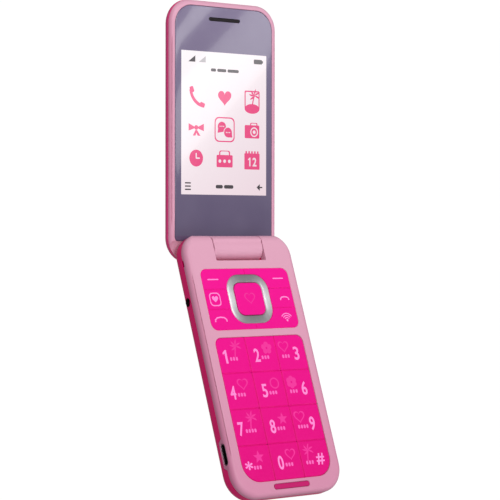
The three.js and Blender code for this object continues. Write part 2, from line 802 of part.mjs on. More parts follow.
function addLidShell() {
  const shell = keep(lidForm, slab(-far, far, -far, lidSeam - clear.fit));
  // the hollow steps in near the back, where the outside curves in
  const stepIn = 4.6;
  const stepHeight = 1.2;
  const hollow = join(
    lidInside(stepIn, shellFloor, shellFloor + stepHeight + 0.2),
    lidInside(body.wall, shellFloor + stepHeight, far),
  );
  const bosses = lidScrewPlaces.map(([x, y]) => (
    post(1.8, x, y, shellFloor - 0.2, lidSeam - 1.5 - clear.fit)
  ));
  const bores = lidScrewPlaces.map(([x, y]) => (
    post(inside.screwShank + clear.fit, x, y, shellFloor + 0.4, far, 10)
  ));
  const { shape, through } = rearWindowShapes();
  const seat = plate(shape(clear.fit), lidBack - 1, lidBack + rear.windowThickness + clear.fit);
  const windowHole = plate(through, lidBack - 1, shellFloor + 1, { arcSteps: 2 });
  piece(lid, 'lid_outer_shell', cut(
    join(cut(shell, hollow), ...bosses), ...bores, seat, windowHole,
  ), magenta);
}

function rearWindowShapes() {
  const head = lidReach - rear.windowTop;
  const width = body.width - 2 * rear.windowSide;
  const shape = (grow) => centredRect(
    0, head - rear.windowLength / 2, width + 2 * grow, rear.windowLength + 2 * grow, rear.corner + grow,
  );
  const ledge = 1.2;
  return { head, shape, through: shape(-ledge) };
}

function addScreens() {
  const slot = centredRect(0, earY, earpiece.slot, earpiece.slotHeight, earpiece.slotHeight / 2 - 0.01);
  const windowShape = roundedRect(
    -windowHalf, screen.windowFoot, windowHalf, windowHead, windowCorners,
  );
  const edge = { size: 0.2, height: 0.15, steps: 1 };
  const glass = cut(
    plate(windowShape, face - screen.windowThickness, face, { edge, arcSteps: 6 }),
    plate(slot, face - 2, face + 1, { arcSteps: 3 }),
  );
  piece(lid, 'main_window', glass, glassGrey);

  const moduleTop = ledgeZ;
  const moduleBottom = moduleTop - screen.moduleThickness;
  piece(lid, 'main_display', plate(
    roundedRect(
      -frontDisplayHalf, litFoot - 4, frontDisplayHalf, litTop + screen.moduleBorder, 0.8,
    ),
    moduleBottom, moduleTop, { arcSteps: 1 },
  ), screenWhite);

  const bracketTop = moduleBottom - clear.fit;
  const bracketBottom = bracketTop - 0.4;
  const bracketHalf = half - body.wall - 1.6;
  const bracket = cut(
    plate(
      roundedRect(-bracketHalf, openingFoot + 1, bracketHalf, openingHead - 9, 3), bracketBottom,
      bracketTop, { arcSteps: 2 },
    ),
    box(-12, 12, litFoot + 4.8, litFoot + 20.8, bracketBottom - 1, bracketTop + 1),
  );
  piece(lid, 'display_bracket', bracket, steel);

  const lidBoardTop = bracketBottom - clear.fit;
  const cameraY = rearWindowShapes().head - 6.5;
  const board = cut(
    plate(
      roundedRect(-bracketHalf + 1, openingFoot + 2, bracketHalf - 1, openingHead - 9, 3),
      lidBoardTop - 0.6, lidBoardTop, { arcSteps: 2 },
    ),
    box(-5, 5, cameraY - 5, cameraY + 5, lidBoardTop - 2, lidBoardTop + 1),
  );
  piece(lid, 'lid_circuit_board', board, boardGreen);

  const [unitWidth, unitHeight, unitDeep] = earpiece.unit;
  piece(lid, 'earpiece', plate(
    centredRect(0, earY, unitWidth, unitHeight, 2), moduleTop - unitDeep, moduleTop, { arcSteps: 2 },
  ), darkPlastic);
  const mesh = centredRect(
    0, earY, earpiece.slot - 2 * clear.fit, earpiece.slotHeight - 2 * clear.fit,
    earpiece.slotHeight / 2 - clear.fit - 0.01,
  );
  piece(lid, 'earpiece_grille', plate(
    mesh, face - 0.25 - earpiece.mesh, face - 0.25, { arcSteps: 2 },
  ), steel);

  addRearWindow(cameraY, lidBoardTop - 0.6);
  for (const [index, [x, y]] of lidScrewPlaces.entries()) {
    const name = index === 0 ? 'lid_screw_left' : 'lid_screw_right';
    piece(lid, name, screw(x, y, ledgeZ - 0.95, 0.85, shellFloor + 0.9), steel);
  }
}

function addRearWindow(cameraY, boardBottomZ) {
  const { shape } = rearWindowShapes();
  const windowTop = lidBack + rear.windowThickness;
  piece(lid, 'outer_window', plate(shape(0), lidBack, windowTop, {
    edge: { size: 0.2, height: 0.15, steps: 1 },
  }), glassGrey);

  const [width, height, deep] = rear.display;
  const displayBottom = windowTop + clear.fit;
  piece(lid, 'outer_display', box(
    -width / 2, width / 2, cameraY - 8.5 - height, cameraY - 8.5, displayBottom,
    Math.min(displayBottom + deep, boardBottomZ - clear.fit),
  ), darkPlastic);
  piece(lid, 'camera_module', post(
    rear.cameraRadius, 0, cameraY, displayBottom, boardBottomZ + 0.4, 20,
  ), darkPlastic);
  piece(lid, 'flash_lens', post(
    rear.flashRadius, 9, cameraY, displayBottom, boardBottomZ - clear.fit, 12,
  ), clearSilicone);
}

addKeypadFrame();
addRearHousing();
addBatteryCover();
addBumper();
addVolumeRocker();
addDigitKeys();
addFunctionKeys();
addNavigation();
addBoardAndPorts();
addBaseInternals();
addHinge();
addLidBezel();
addLidShell();
addScreens();

export default phone;
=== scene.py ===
"""Looks of the clamshell phone: fine shells, keys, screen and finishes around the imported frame.

Shapes are worked out in millimetres, in the frame of the half they belong to: the keypad half's
own frame, or the lid's, whose origin is the hinge axis with +Y up the lid and +Z out of the glass.
They are turned and scaled to metres in the row frame as the last step of each piece.
"""
import json
import math

import bmesh
import bpy
import numpy as np
from mathutils import Matrix, Vector
from mathutils.geometry import delaunay_2d_cdt

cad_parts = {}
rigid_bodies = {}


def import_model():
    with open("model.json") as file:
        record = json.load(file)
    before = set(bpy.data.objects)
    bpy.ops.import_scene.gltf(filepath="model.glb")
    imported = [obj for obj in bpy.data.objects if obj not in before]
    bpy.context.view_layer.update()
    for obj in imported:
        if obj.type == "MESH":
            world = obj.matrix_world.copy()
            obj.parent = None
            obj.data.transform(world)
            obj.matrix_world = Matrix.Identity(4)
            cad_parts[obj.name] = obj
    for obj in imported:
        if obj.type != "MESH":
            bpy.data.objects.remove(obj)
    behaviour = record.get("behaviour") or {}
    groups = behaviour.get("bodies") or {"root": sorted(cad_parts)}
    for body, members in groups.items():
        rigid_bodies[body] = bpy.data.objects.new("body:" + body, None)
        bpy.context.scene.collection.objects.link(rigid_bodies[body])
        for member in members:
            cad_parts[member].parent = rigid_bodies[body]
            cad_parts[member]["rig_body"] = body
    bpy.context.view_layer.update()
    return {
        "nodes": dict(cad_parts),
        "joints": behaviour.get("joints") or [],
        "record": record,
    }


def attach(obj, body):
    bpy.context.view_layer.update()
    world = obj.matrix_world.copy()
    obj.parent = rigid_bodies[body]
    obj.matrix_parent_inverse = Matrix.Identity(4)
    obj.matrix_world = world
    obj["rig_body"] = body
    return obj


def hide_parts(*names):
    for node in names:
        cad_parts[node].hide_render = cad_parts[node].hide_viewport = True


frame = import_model()

bl_info = {
    "name": "Clamshell Phone Looks",
    "version": (1, 0, 0),
    "blender": (4, 5, 0),
    "location": "View3D > Sidebar > Phone",
    "description": "Builds the visible shells, keys, screen and finishes of a clamshell phone",
    "category": "Object",
}

MM = 0.001
ARC = 12  # segments in a quarter turn of an outline
QUARTER = math.pi / 2

# ---------------------------------------------------------------- places taken from the frame
HINGE = next(joint for joint in frame["joints"] if joint["name"] == "lid_hinge")
HINGE_POINT = Vector(HINGE["pos_m"])
LID_TILT = math.pi - math.radians(HINGE["range_deg"][1])
BASE = Matrix.Identity(4)
LID = Matrix.Translation(HINGE_POINT) @ Matrix.Rotation(LID_TILT, 4, "X")
FACE_DOWN = Matrix.Rotation(math.pi, 4, "X")
FACE_BACK = Matrix.Rotation(math.pi, 4, "Y")
LID_BACK = LID @ FACE_BACK  # looking at the outside of the lid
TO_METRES = Matrix.Scale(MM, 4)
# (across, up, outwards) of a side wall, turned into the half's own X, Y and Z
LEFT_WALL = Matrix(((0, 0, -1, 0), (-1, 0, 0, 0), (0, 1, 0, 0), (0, 0, 0, 1)))
RIGHT_WALL = Matrix(((0, 0, 1, 0), (1, 0, 0, 0), (0, 1, 0, 0), (0, 0, 0, 1)))


class Span:
    """The box of a CAD node in one of the places above, in millimetres.
    wide, long and tall are its sizes along X, Y and Z, and x, y and z its middle."""

    def __init__(self, node, place=BASE):
        back = place.inverted()
        points = np.array([back @ v.co for v in frame["nodes"][node].data.vertices]) / MM
        self.x0, self.y0, self.z0 = (float(value) for value in points.min(axis=0))
        self.x1, self.y1, self.z1 = (float(value) for value in points.max(axis=0))
        self.x = (self.x0 + self.x1) / 2
        self.y = (self.y0 + self.y1) / 2
        self.z = (self.z0 + self.z1) / 2
        self.wide = self.x1 - self.x0
        self.long = self.y1 - self.y0
        self.tall = self.z1 - self.z0


FRONT = Span("keypad_frame")
CASE = Span("rear_housing")
COVER = Span("battery_cover")
SHELL = Span("lid_outer_shell", LID)
GLASS = Span("main_window", LID)
DISPLAY = Span("main_display", LID)
HALF = FRONT.x1
HINGE_Y = HINGE_POINT.y / MM
HINGE_Z = HINGE_POINT.z / MM
SEAM = CASE.z1 + 0.15
FACE = GLASS.z1
LID_SEAM = SHELL.z1 + 0.15

# ---------------------------------------------------------------- fixed sizes, millimetres
# A CORNER is the radius of an outline's corner.
TOP_CORNER = 9.2
FOOT_CORNER = 10.6
LID_CORNER = 10.0
BACK_IN = 8.65  # how far the curved back draws in, and over what height
BACK_DEEP = 5.15
WALL = 1.4
GAP = 0.15  # round a piece in its seat
TURN_GAP = 0.25  # round a piece that turns
BARREL_RADIUS = 4.73
BARREL_HALF = 12.3
BARREL_LEFT = 12.05  # the barrel's end on the left, a little shorter
BARREL_EDGE = 0.35
SLOT_HALF = BARREL_HALF + TURN_GAP
TROUGH_RADIUS = 6.198  # of the lid's foot, which turns round the hinge shoulders
FRONT_SPARE = 1.2  # wider slot of the front frame on the keys' side of the barrel
REAR_SPARE = 0.95  # the same in the rear case, so that the ridge passes when the lid shuts
RIDGE_ANGLES = (-34, 52, 12)  # from, to and fading width, in degrees
RIDGE_RISE = 0.75
SHOULDER_ROUND = 4.0
BORE_RADIUS = 2.9
BUSH_RADIUS = 2.4
PLATE_UNDER = 9.2  # underside of the front frame's face
CAVITY_HEAD = 42.12  # end of the keypad half's inside, towards the hinge
FLOOR = 1.2  # thickness of the battery cover and of the floors
KEY_CORNER = 0.25
KEY_SPARE = 0.1  # between a panel of keys and its opening
PAD_TOP_CORNER = 3.0
PAD_FOOT_CORNER = 7.5
RING_CORNER = 6.6
RING_RIM = 3.3  # width of the ring's band
WINDOW_CORNER = 8.2
WINDOW_FOOT_CORNER = 1.6
EAR_SLOT = (15.8, 1.5)
LIT = (43.2, 57.6)
LIT_MARGIN = 1.2  # display module's border above the lit area
REAR_CORNER = 6.0
BASE_GROOVE = (10.5, 1.5, (50, 63))  # short of the pad's foot and the panel's head, and its angles
LID_GROOVE = (14.5, 15, (53, 67))  # the same, short of the lid's foot and head


# ---------------------------------------------------------------- settings a user would change
def size_prop(name, description, default, soft_max=5.0):
    return bpy.props.FloatProperty(
        name=name, description=description, default=default * MM, min=0.0, soft_max=soft_max * MM,
        precision=5, subtype="DISTANCE", unit="LENGTH",
    )


def linear(red, green, blue):
    """A display colour, 0 to 255, as scene-linear values."""
    shares = [value / 255 for value in (red, green, blue)]
    return tuple(s / 12.92 if s <= 0.04045 else ((s + 0.055) / 1.055) ** 2.4 for s in shares)


def colour_prop(name, description, *display):
    return bpy.props.FloatVectorProperty(
        name=name, description=description, default=linear(*display), min=0.0, max=1.0, size=3,
        subtype="COLOR",
    )


class PhoneSizes(bpy.types.PropertyGroup):
    """Edge and print sizes of the visible pieces"""

    front_edge: size_prop("Front edge", "Rounding of the keypad half's front rim", 2.4)
    lid_edge: size_prop("Lid edge", "Rounding of the lid's front rim", 2.0)
    seam_edge: size_prop("Seam edge", "Rounding where two housings meet", 0.12)
    rim_edge: size_prop("Opening edge", "Rounding of the rims round keys, slots and the glass", 0.22)
    key_edge: size_prop("Key edge", "Rounding of a key's upper edge", 0.3)
    groove_depth: size_prop("Side groove", "Depth of the long groove beside the front", 0.45)
    print_bold: size_prop("Print weight", "Extra weight of the printed digits", 0.13)
    digit_height: size_prop("Digit height", "Height of a printed digit", 5.5, 9.0)
    digit_width: size_prop("Digit width", "Width of a printed digit", 2.7, 5.0)


class PhoneColours(bpy.types.PropertyGroup):
    """Colours of the visible pieces"""

    frame_pink: colour_prop("Frame pink", "Satin front frames, at the hinge end", 227, 168, 192)
    # painted shade: the frame's pink at the foot, darker where less light falls
    frame_foot_painted_shade: colour_prop("Frame pink, foot", "The keypad frame at its foot", 213, 142, 172)
    shell_magenta: colour_prop("Shell magenta", "Satin rear housings", 236, 4, 112)
    lid_shell: colour_prop("Lid shell", "The lid's satin outer shell", 238, 66, 136)
    key_head: colour_prop("Key pink, head", "Keys nearest the hinge", 244, 16, 148)
    key_foot: colour_prop("Key pink, foot", "Keys nearest the foot", 222, 2, 120)
    key_print: colour_prop("Key print", "Printed digits", 255, 140, 214)
    key_letters: colour_prop("Key dots", "Rows of dots beside the digits", 255, 104, 196)
    key_tint: colour_prop("Key pictograms", "Faint printed pictograms", 247, 44, 158)
    bumper_pink: colour_prop("Bumper pink", "Rubber bumper below the keys", 196, 22, 106)
    # The two glass colours hold a painted reflection: the printed border grows lighter from the hinge end
    # to the far end
    glass_reflection_far: colour_prop("Glass, far end", "Printed border behind the glass, far end", 122, 110, 142)
    glass_reflection_hinge: colour_prop("Glass, hinge end", "Printed border behind the glass, hinge end", 78, 66, 98)
    icon_pink: colour_prop("Icon pink", "Pictograms on the display", 250, 84, 142)
    metal: colour_prop("Ring metal", "Spun navigation ring", 232, 230, 233)


# ---------------------------------------------------------------- flat outlines
def rounded(x0, y0, x1, y1, corners):
    """An outline that shrinks evenly: outline(inset) gives its points, anticlockwise.
    corners are the radii at the top left, top right, bottom right and bottom left."""
    tl, tr, br, bl = corners if isinstance(corners, tuple) else (corners,) * 4
    ends = ((x1, y0, 1, -1, br), (x1, y1, 1, 1, tr), (x0, y1, -1, 1, tl), (x0, y0, -1, -1, bl))

    def outline(inset=0.0):
        points = []
        for turn, (x, y, right, up, radius) in enumerate(ends):
            left_over = max(radius - inset, 0.02)
            cx = x - right * (inset + left_over)
            cy = y - up * (inset + left_over)
            for step in range(ARC + 1):
                angle = (turn - 1 + step / ARC) * QUARTER
                points.append((cx + left_over * math.cos(angle), cy + left_over * math.sin(angle)))
        return points

    return outline


def grown(outline, amount):
    """The same outline, larger all round."""
    return lambda inset=0.0: outline(inset - amount)


def centred(x, y, width, height, corners):
    return rounded(x - width / 2, y - height / 2, x + width / 2, y + height / 2, corners)


def circle(x, y, radius, steps=4 * ARC):
    """A round outline that shrinks evenly."""

    def outline(inset=0.0):
        turns = [2 * math.pi * step / steps for step in range(steps)]
        size = max(radius - inset, 0.01)
        return [(x + size * math.cos(t), y + size * math.sin(t)) for t in turns]

    return outline


def shrinking(points):
    """Any anticlockwise outline, made to shrink along its own corners' bisectors."""
    ring = np.array(points)

    def outline(inset=0.0):
        before = ring - np.roll(ring, 1, axis=0)
        after = np.roll(ring, -1, axis=0) - ring
        normals = [np.stack((-side[:, 1], side[:, 0]), 1) for side in (before, after)]
        normals = [n / np.linalg.norm(n, axis=1, keepdims=True) for n in normals]
        middle = normals[0] + normals[1]
        middle /= np.maximum((middle * normals[0]).sum(1, keepdims=True), 0.3)
        return [tuple(point) for point in ring + inset * middle]

    return outline


def inside(points, loop):
    """Which of the points lie inside a closed loop."""
    a = np.array(loop)
    b = np.roll(a, -1, axis=0)
    px, py = points[:, :1], points[:, 1:]
    rises = (a[:, 1] > py) != (b[:, 1] > py)
    span = np.where(b[:, 1] == a[:, 1], 1e-12, b[:, 1] - a[:, 1])
    crossing = a[:, 0] + (py - a[:, 1]) * (b[:, 0] - a[:, 0]) / span
    return (rises & (px < crossing)).sum(axis=1) % 2 == 1


def inside_any_odd(points, loops):
    """Which points lie inside an odd number of the loops, so that inner loops are holes."""
    return sum(inside(points, loop).astype(int) for loop in loops) % 2 == 1


def net(loops):
    """Triangles that keep to every line of the loops: (corners, triangles, source of each corner)."""
    corners, lines = [], []
    for loop in loops:
        first = len(corners)
        corners += [Vector(point) for point in loop]
        lines += [(first + i, first + (i + 1) % len(loop)) for i in range(len(loop))]
    found = delaunay_2d_cdt(corners, lines, [], 0, 1e-5, True)
    return np.array([tuple(v) for v in found[0]]), found[2], found[3]


def region(keep, leave):
    """The outline of what lies inside all the loops in keep and outside all those in leave."""
    corners, triangles, _ = net([*keep, *leave])
    middles = corners[np.array(triangles)].mean(axis=1)
    chosen = np.all([inside(middles, loop) for loop in keep], axis=0)
    chosen &= ~np.any([inside(middles, loop) for loop in leave], axis=0)
    sides = set()
    for triangle in (t for t, wanted in zip(triangles, chosen) if wanted):
        sides |= {(triangle[i], triangle[(i + 1) % 3]) for i in range(3)}
    following = {a: b for a, b in sides if (b, a) not in sides}
    start = next(iter(sorted(following)))
    walk = [start]
    while following[walk[-1]] != start:
        walk.append(following[walk[-1]])
    points = [corners[i] for i in walk]
    return [tuple(p) for i, p in enumerate(points) if np.linalg.norm(p - points[i - 1]) > 1e-3]


# ---------------------------------------------------------------- printed marks, as loops
def moved(loop, x, y, size=1.0):
    return [(x + size * px, y + size * py) for px, py in loop]


def turned(loop, angle):
    """A loop turned about the origin, in degrees."""
    c, s = math.cos(math.radians(angle)), math.sin(math.radians(angle))
    return [(x * c - y * s, x * s + y * c) for x, y in loop]


def disc(radius, steps=28):
    return circle(0, 0, radius, steps)()


def bar(width, height, round_share=0.5, steps=5):
    """A small rounded bar about the origin."""
    radius = min(width, height) * round_share
    points = []
    for turn, (right, up) in enumerate(((1, -1), (1, 1), (-1, 1), (-1, -1))):
        cx, cy = right * (width / 2 - radius), up * (height / 2 - radius)
        for step in range(steps + 1):
            angle = (turn - 1 + step / steps) * QUARTER
            points.append((cx + radius * math.cos(angle), cy + radius * math.sin(angle)))
    return points


def stroke(points, width):
    """A line of even width through the points, with square ends."""
    line = np.array(points, float)
    along = np.gradient(line, axis=0)
    along /= np.linalg.norm(along, axis=1, keepdims=True)
    across = np.stack((-along[:, 1], along[:, 0]), 1) * width / 2
    return [tuple(p) for p in np.concatenate((line - across, (line + across)[::-1]))]


def arc(radius, start, end, x=0.0, y=0.0, steps=18):
    """Points along an arc, in degrees."""
    angles = [math.radians(start + (end - start) * i / steps) for i in range(steps + 1)]
    return [(x + radius * math.cos(a), y + radius * math.sin(a)) for a in angles]


def heart(steps=36):
    """A heart about one unit across."""
    turns = [2 * math.pi * i / steps for i in range(steps)]
    return [
        (
            -16 * math.sin(t) ** 3 / 33,
            (13 * math.cos(t) - 5 * math.cos(2 * t) - 2 * math.cos(3 * t) - math.cos(4 * t) + 2.5) / 33,
        )
        for t in turns
    ]


def star(points=5, inner=0.42):
    spikes = []
    for i in range(2 * points):
        angle = QUARTER + math.pi * i / points
        radius = 0.5 if i % 2 == 0 else 0.5 * inner
        spikes.append((radius * math.cos(angle), radius * math.sin(angle)))
    return spikes


def leaf(length, width, angle, steps=8):
    """A pointed leaf from the origin, turned by angle degrees."""
    upper = [(length * i / steps, width / 2 * math.sin(math.pi * i / steps)) for i in range(steps + 1)]
    lower = [(x, -y * 0.35) for x, y in upper[-2:0:-1]]
    return turned((upper + lower)[::-1], angle)


def outlined(loop, share=0.76):
    """A loop with a smaller copy of itself as its hole."""
    middle = np.mean(loop, axis=0)
    return [loop, [tuple(middle + share * (np.array(p) - middle)) for p in loop]]


def palm():
    """A palm about one unit high: leaves and a leaning trunk."""
    crown = (0.08, 0.18)
    leaves = [moved(leaf(0.46, 0.17, angle), *crown) for angle in (-25, 25, 75, 130, 170, 215)]
    trunk = stroke([(-0.1, -0.5), (-0.04, -0.2), (0.03, 0.05), crown], 0.09)
    return [*leaves, trunk]


def flower(petals=5):
    around = [2 * math.pi * i / petals + QUARTER for i in range(petals)]
    return [moved(disc(0.2, 14), 0.27 * math.cos(a), 0.27 * math.sin(a)) for a in around]


def glyph(character, width, height, bold):
    """The outline loops of a digit or sign, fitted to a width and height about the origin."""
    text = bpy.data.curves.new("glyph", "FONT")
    text.body = character
    text.size = 1.0
    text.resolution_u = 5
    holder = bpy.data.objects.new("glyph", text)
    bpy.context.scene.collection.objects.link(holder)
    graph = bpy.context.evaluated_depsgraph_get()
    mesh = bpy.data.meshes.new_from_object(holder.evaluated_get(graph))
    bpy.data.objects.remove(holder)
    bpy.data.curves.remove(text)
    uses = {}
    for polygon in mesh.polygons:
        for a, b in polygon.edge_keys:
            uses[(a, b)] = uses.get((a, b), 0) + 1
    beside = {}
    for (a, b), count in uses.items():
        if count == 1:
            beside.setdefault(a, []).append(b)
            beside.setdefault(b, []).append(a)
    loops = []
    while beside:
        start = min(beside)
        walk, here, last = [start], beside[start][0], start
        while here != start:
            walk.append(here)
            here, last = next((n for n in beside[here] if n != last), start), here
        for index in walk:
            beside.pop(index, None)
        loops.append(np.array([mesh.vertices[i].co.xy[:] for i in walk]))
    bpy.data.meshes.remove(mesh)
    everything = np.concatenate(loops)
    low, high = everything.min(0), everything.max(0)
    scale = (np.array((width, height)) - 2 * bold) / np.maximum(high - low, 1e-6)
    fitted = []
    for loop in loops:
        points = (loop - (low + high) / 2) * scale
        area = np.sum(points[:, 0] * np.roll(points[:, 1], -1) - np.roll(points[:, 0], -1) * points[:, 1])
        if area < 0:
            points = points[::-1]
        hole = any(other is not loop and inside(loop[:1], other)[0] for other in loops)
        fitted.append(shrinking(points)(bold if hole else -bold))
    return fitted


# ---------------------------------------------------------------- solids
def to_object(bm, turn=None):
    """A scratch object from a bmesh, still in millimetres."""
    if turn is not None:
        bmesh.ops.transform(bm, matrix=turn, verts=bm.verts)
    mesh = bpy.data.meshes.new("scratch")
    bm.to_mesh(mesh)
    bm.free()
    made = bpy.data.objects.new("scratch", mesh)
    bpy.context.scene.collection.objects.link(made)
    return made


def printed_cap(bm, ring, prints):
    """Closes a ring with a flat face split along the prints, each in its own material slot."""
    rim = [(v.co.x, v.co.y) for v in ring]
    height = ring[0].co.z
    loops = [rim] + [loop for group, _ in prints for loop in group]
    corners, triangles, sources = net(loops)
    middles = corners[np.array(triangles)].mean(axis=1)
    slots = np.zeros(len(triangles), int)
    for group, slot in prints:
        slots[inside_any_odd(middles, group)] = slot
    wanted = inside(middles, rim)
    verts = []
    for corner, origin in zip(corners, sources):
        on_rim = [i for i in origin if i < len(rim)]
        verts.append(ring[on_rim[0]] if on_rim else bm.verts.new((corner[0], corner[1], height)))
    for triangle, slot, keep in zip(triangles, slots, wanted):
        if keep:
            bm.faces.new([verts[i] for i in triangle]).material_index = int(slot)


def loft(outline, levels, turn=None, prints=(), closed=False):
    """A solid through copies of an outline, each with its own (inset, height)."""
    bm = bmesh.new()
    rings = [[bm.verts.new((x, y, z)) for x, y in outline(inset)] for inset, z in levels]
    pairs = list(zip(rings, rings[1:] + rings[:1])) if closed else list(zip(rings, rings[1:]))
    for low, high in pairs:
        for i in range(len(low)):
            j = (i + 1) % len(low)
            bm.faces.new((low[i], low[j], high[j], high[i]))
    if not closed:
        bm.faces.new(rings[0][::-1])
        if prints:
            printed_cap(bm, rings[-1], prints)
        else:
            bm.faces.new(rings[-1])
    return to_object(bm, turn)


def lathe(profile, turn=None, steps=48):
    """A solid of revolution about +Z; the profile of (radius, height) starts and ends on the axis."""
    return loft(
        lambda inset: circle(0, 0, 1, steps)(1 - inset), [(max(r, 0.01), z) for r, z in profile], turn,
    )


def over(size, height, top, steps=7):
    """Levels of a rounded upper rim."""
    angles = [QUARTER * i / steps for i in range(steps + 1)]
    return [(size * (1 - math.cos(a)), top - height + height * math.sin(a)) for a in angles]


def under(size, height, bottom, steps=7):
    """Levels of a rounded lower rim."""
    return [(inset, 2 * bottom - z) for inset, z in reversed(over(size, height, bottom, steps))]


def pad_levels(bottom, top, edge):
    """Levels of a plate with both rims rounded."""
    return under(edge, edge, bottom) + over(edge, edge, top)


def button_levels(bottom, size, height, top, steps=7):
    """Levels of a plate with a broken lower edge and a rounded upper rim."""
    return [(0.1, bottom), (0, bottom + 0.1), *over(size, height, top, steps)]


def flared(outline, bottom, top, edge, turn=None):
    """A cutter whose mouth at top widens, so that the cut has a rounded rim."""
    mouth = [(-inset, z) for inset, z in over(edge, edge, top, 5)]
    return loft(outline, [(0, bottom), *mouth, (-edge, top + 2)], turn)


class Pillow:
    """A half of the phone: upright sides, a round front rim and an elliptic back edge."""

    def __init__(self, outline, bottom, top, front):
        self.outline, self.bottom, self.top, self.front = outline, bottom, top, front

    def inset(self, z):
        low = max(1 - (z - self.bottom) / BACK_DEEP, 0)
        high = max(1 - (self.top - z) / self.front, 0)
        back = BACK_IN * (1 - math.sqrt(max(1 - low * low, 0)))
        return max(back, self.front * (1 - math.sqrt(max(1 - high * high, 0))))

    def slice(self, z0, z1, soft_low=0.0, soft_high=0.0, steps=16):
        """The part between two heights, with its cut edges softened."""
        angles = [QUARTER * i / steps for i in range(steps + 1)]
        heights = {self.bottom + BACK_DEEP * (1 - math.cos(a)) for a in angles}
        heights |= {self.top - self.front * (1 - math.sin(a)) for a in angles}
        low, high = z0 + soft_low, z1 - soft_high
        between = sorted({low, high} | {z for z in heights if low < z < high})
        levels = [(self.inset(z), z) for z in between]
        if soft_low:
            levels = [(self.inset(low) + i, z) for i, z in under(soft_low, soft_low, z0, 4)][:-1] + levels
        if soft_high:
            levels += [(self.inset(high) + i, z) for i, z in over(soft_high, soft_high, z1, 4)][1:]
        return loft(self.outline, levels)


def block(x0, x1, y0, y1, z0, z1, corner=0.3):
    """A box with rounded upright edges, for cutting and joining."""
    return loft(rounded(x0, y0, x1, y1, corner), [(0, z0), (0, z1)])


def rod(radius, x0, x1, y=0.0, z=0.0, steps=72):
    """A round bar along X."""
    return loft(
        circle(0, 0, radius, steps), [(0, x0), (0, x1)], Matrix.Translation((0, y, z)) @ RIGHT_WALL,
    )


def post(radius, x, y, z0, z1, steps=32):
    return loft(circle(x, y, radius, steps), [(0, z0), (0, z1)])


GROOVE_ENDS = 10  # steps from the middle of a groove to each end
GROOVE_FADE = 3  # of them, those over which it grows shallow
GROOVE_ANGLES = 6


def groove_bar(x, z, radius, depth, y0, y1, side, reach):
    """A long cutter that follows a rounded front rim between two of its angles, in degrees."""
    low, high = reach
    shares = [i / GROOVE_ANGLES for i in range(GROOVE_ANGLES + 1)]
    angles = [math.radians(low + (high - low) * share) for share in shares]
    bm = bmesh.new()
    rings = []
    for step in range(-GROOVE_ENDS, GROOVE_ENDS + 1):
        fade = math.sin(QUARTER * min(1, (GROOVE_ENDS - abs(step)) / GROOVE_FADE))
        reached = math.copysign((abs(step) / GROOVE_ENDS) ** 0.3, step)  # closer steps at the ends
        y = (y0 + y1) / 2 + (y1 - y0) / 2 * reached
        deep = radius - depth * fade
        ring = [(deep, a) for a in angles] + [(radius + 0.5, a) for a in reversed(angles)]
        rings.append([
            bm.verts.new((side * (x + r * math.cos(a)), y, z + r * math.sin(a))) for r, a in ring
        ])
    for near, beyond in zip(rings, rings[1:]):
        for i in range(len(near)):
            j = (i + 1) % len(near)
            bm.faces.new((near[i], near[j], beyond[j], beyond[i]))
    bm.faces.new(rings[0])
    bm.faces.new(rings[-1])
    bmesh.ops.recalc_face_normals(bm, faces=bm.faces)
    return to_object(bm)


def shaped(body, operation, *tools):
    """Cuts, joins or keeps body with the tools, which are used up."""
    for tool in tools:
        modifier = body.modifiers.new("shape", "BOOLEAN")
        modifier.operation = operation
        modifier.solver = "EXACT"
        modifier.object = tool
    applied(body)
    for tool in tools:
        bpy.data.objects.remove(tool)
    return body


def cut(body, *tools):
    return shaped(body, "DIFFERENCE", *tools)


def join(body, *tools):
    return shaped(body, "UNION", *tools)


def keep(body, *tools):
    return shaped(body, "INTERSECT", *tools)


def applied(body):
    """Replaces body's mesh by what its modifiers make of it."""
    graph = bpy.context.evaluated_depsgraph_get()
    graph.update()
    mesh = bpy.data.meshes.new_from_object(body.evaluated_get(graph))
    body.modifiers.clear()
    old, body.data = body.data, mesh
    bpy.data.meshes.remove(old)
    return body


def loose_with(body, *others):
    """Puts separate shells that touch nothing into one piece, with body's material slots."""
    bm = bmesh.new()
    bm.from_mesh(body.data)
    for other in others:
        bm.from_mesh(other.data)
        bpy.data.objects.remove(other)
    bm.to_mesh(body.data)
    bm.free()
    return body


# ---------------------------------------------------------------- finished pieces
SLOT_OF = {part["node"]: part["material_slot"] for part in frame["record"]["subparts"]}
KEEP_SHARP = math.radians(32)
FINE_SHARP = math.radians(20)


def painted(body, materials):
    """Gives a shape its material slots, once."""
    if not body.data.materials:
        for material in materials:
            body.data.materials.append(material)
    return body


def finished(body, name, place, nodes, materials, flat_angle=KEEP_SHARP):
    """Places a shape in the row frame, gives it its finish and hands it to the frame."""
    body.name = name
    body.data.name = name
    painted(body, materials)
    body.data.transform(place @ TO_METRES)
    bm = bmesh.new()
    bm.from_mesh(body.data)
    bmesh.ops.remove_doubles(bm, verts=bm.verts, dist=1e-7)
    bmesh.ops.dissolve_degenerate(bm, edges=bm.edges, dist=1e-7)
    bm.to_mesh(body.data)
    bm.free()
    body.data.shade_smooth()
    body.data.set_sharp_from_angle(angle=flat_angle)
    weighted = body.modifiers.new("weighted", "WEIGHTED_NORMAL")
    weighted.keep_sharp = True
    weighted.weight = 80
    applied(body)
    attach(body, frame["nodes"][nodes[0]]["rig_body"])
    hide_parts(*nodes)
    return body


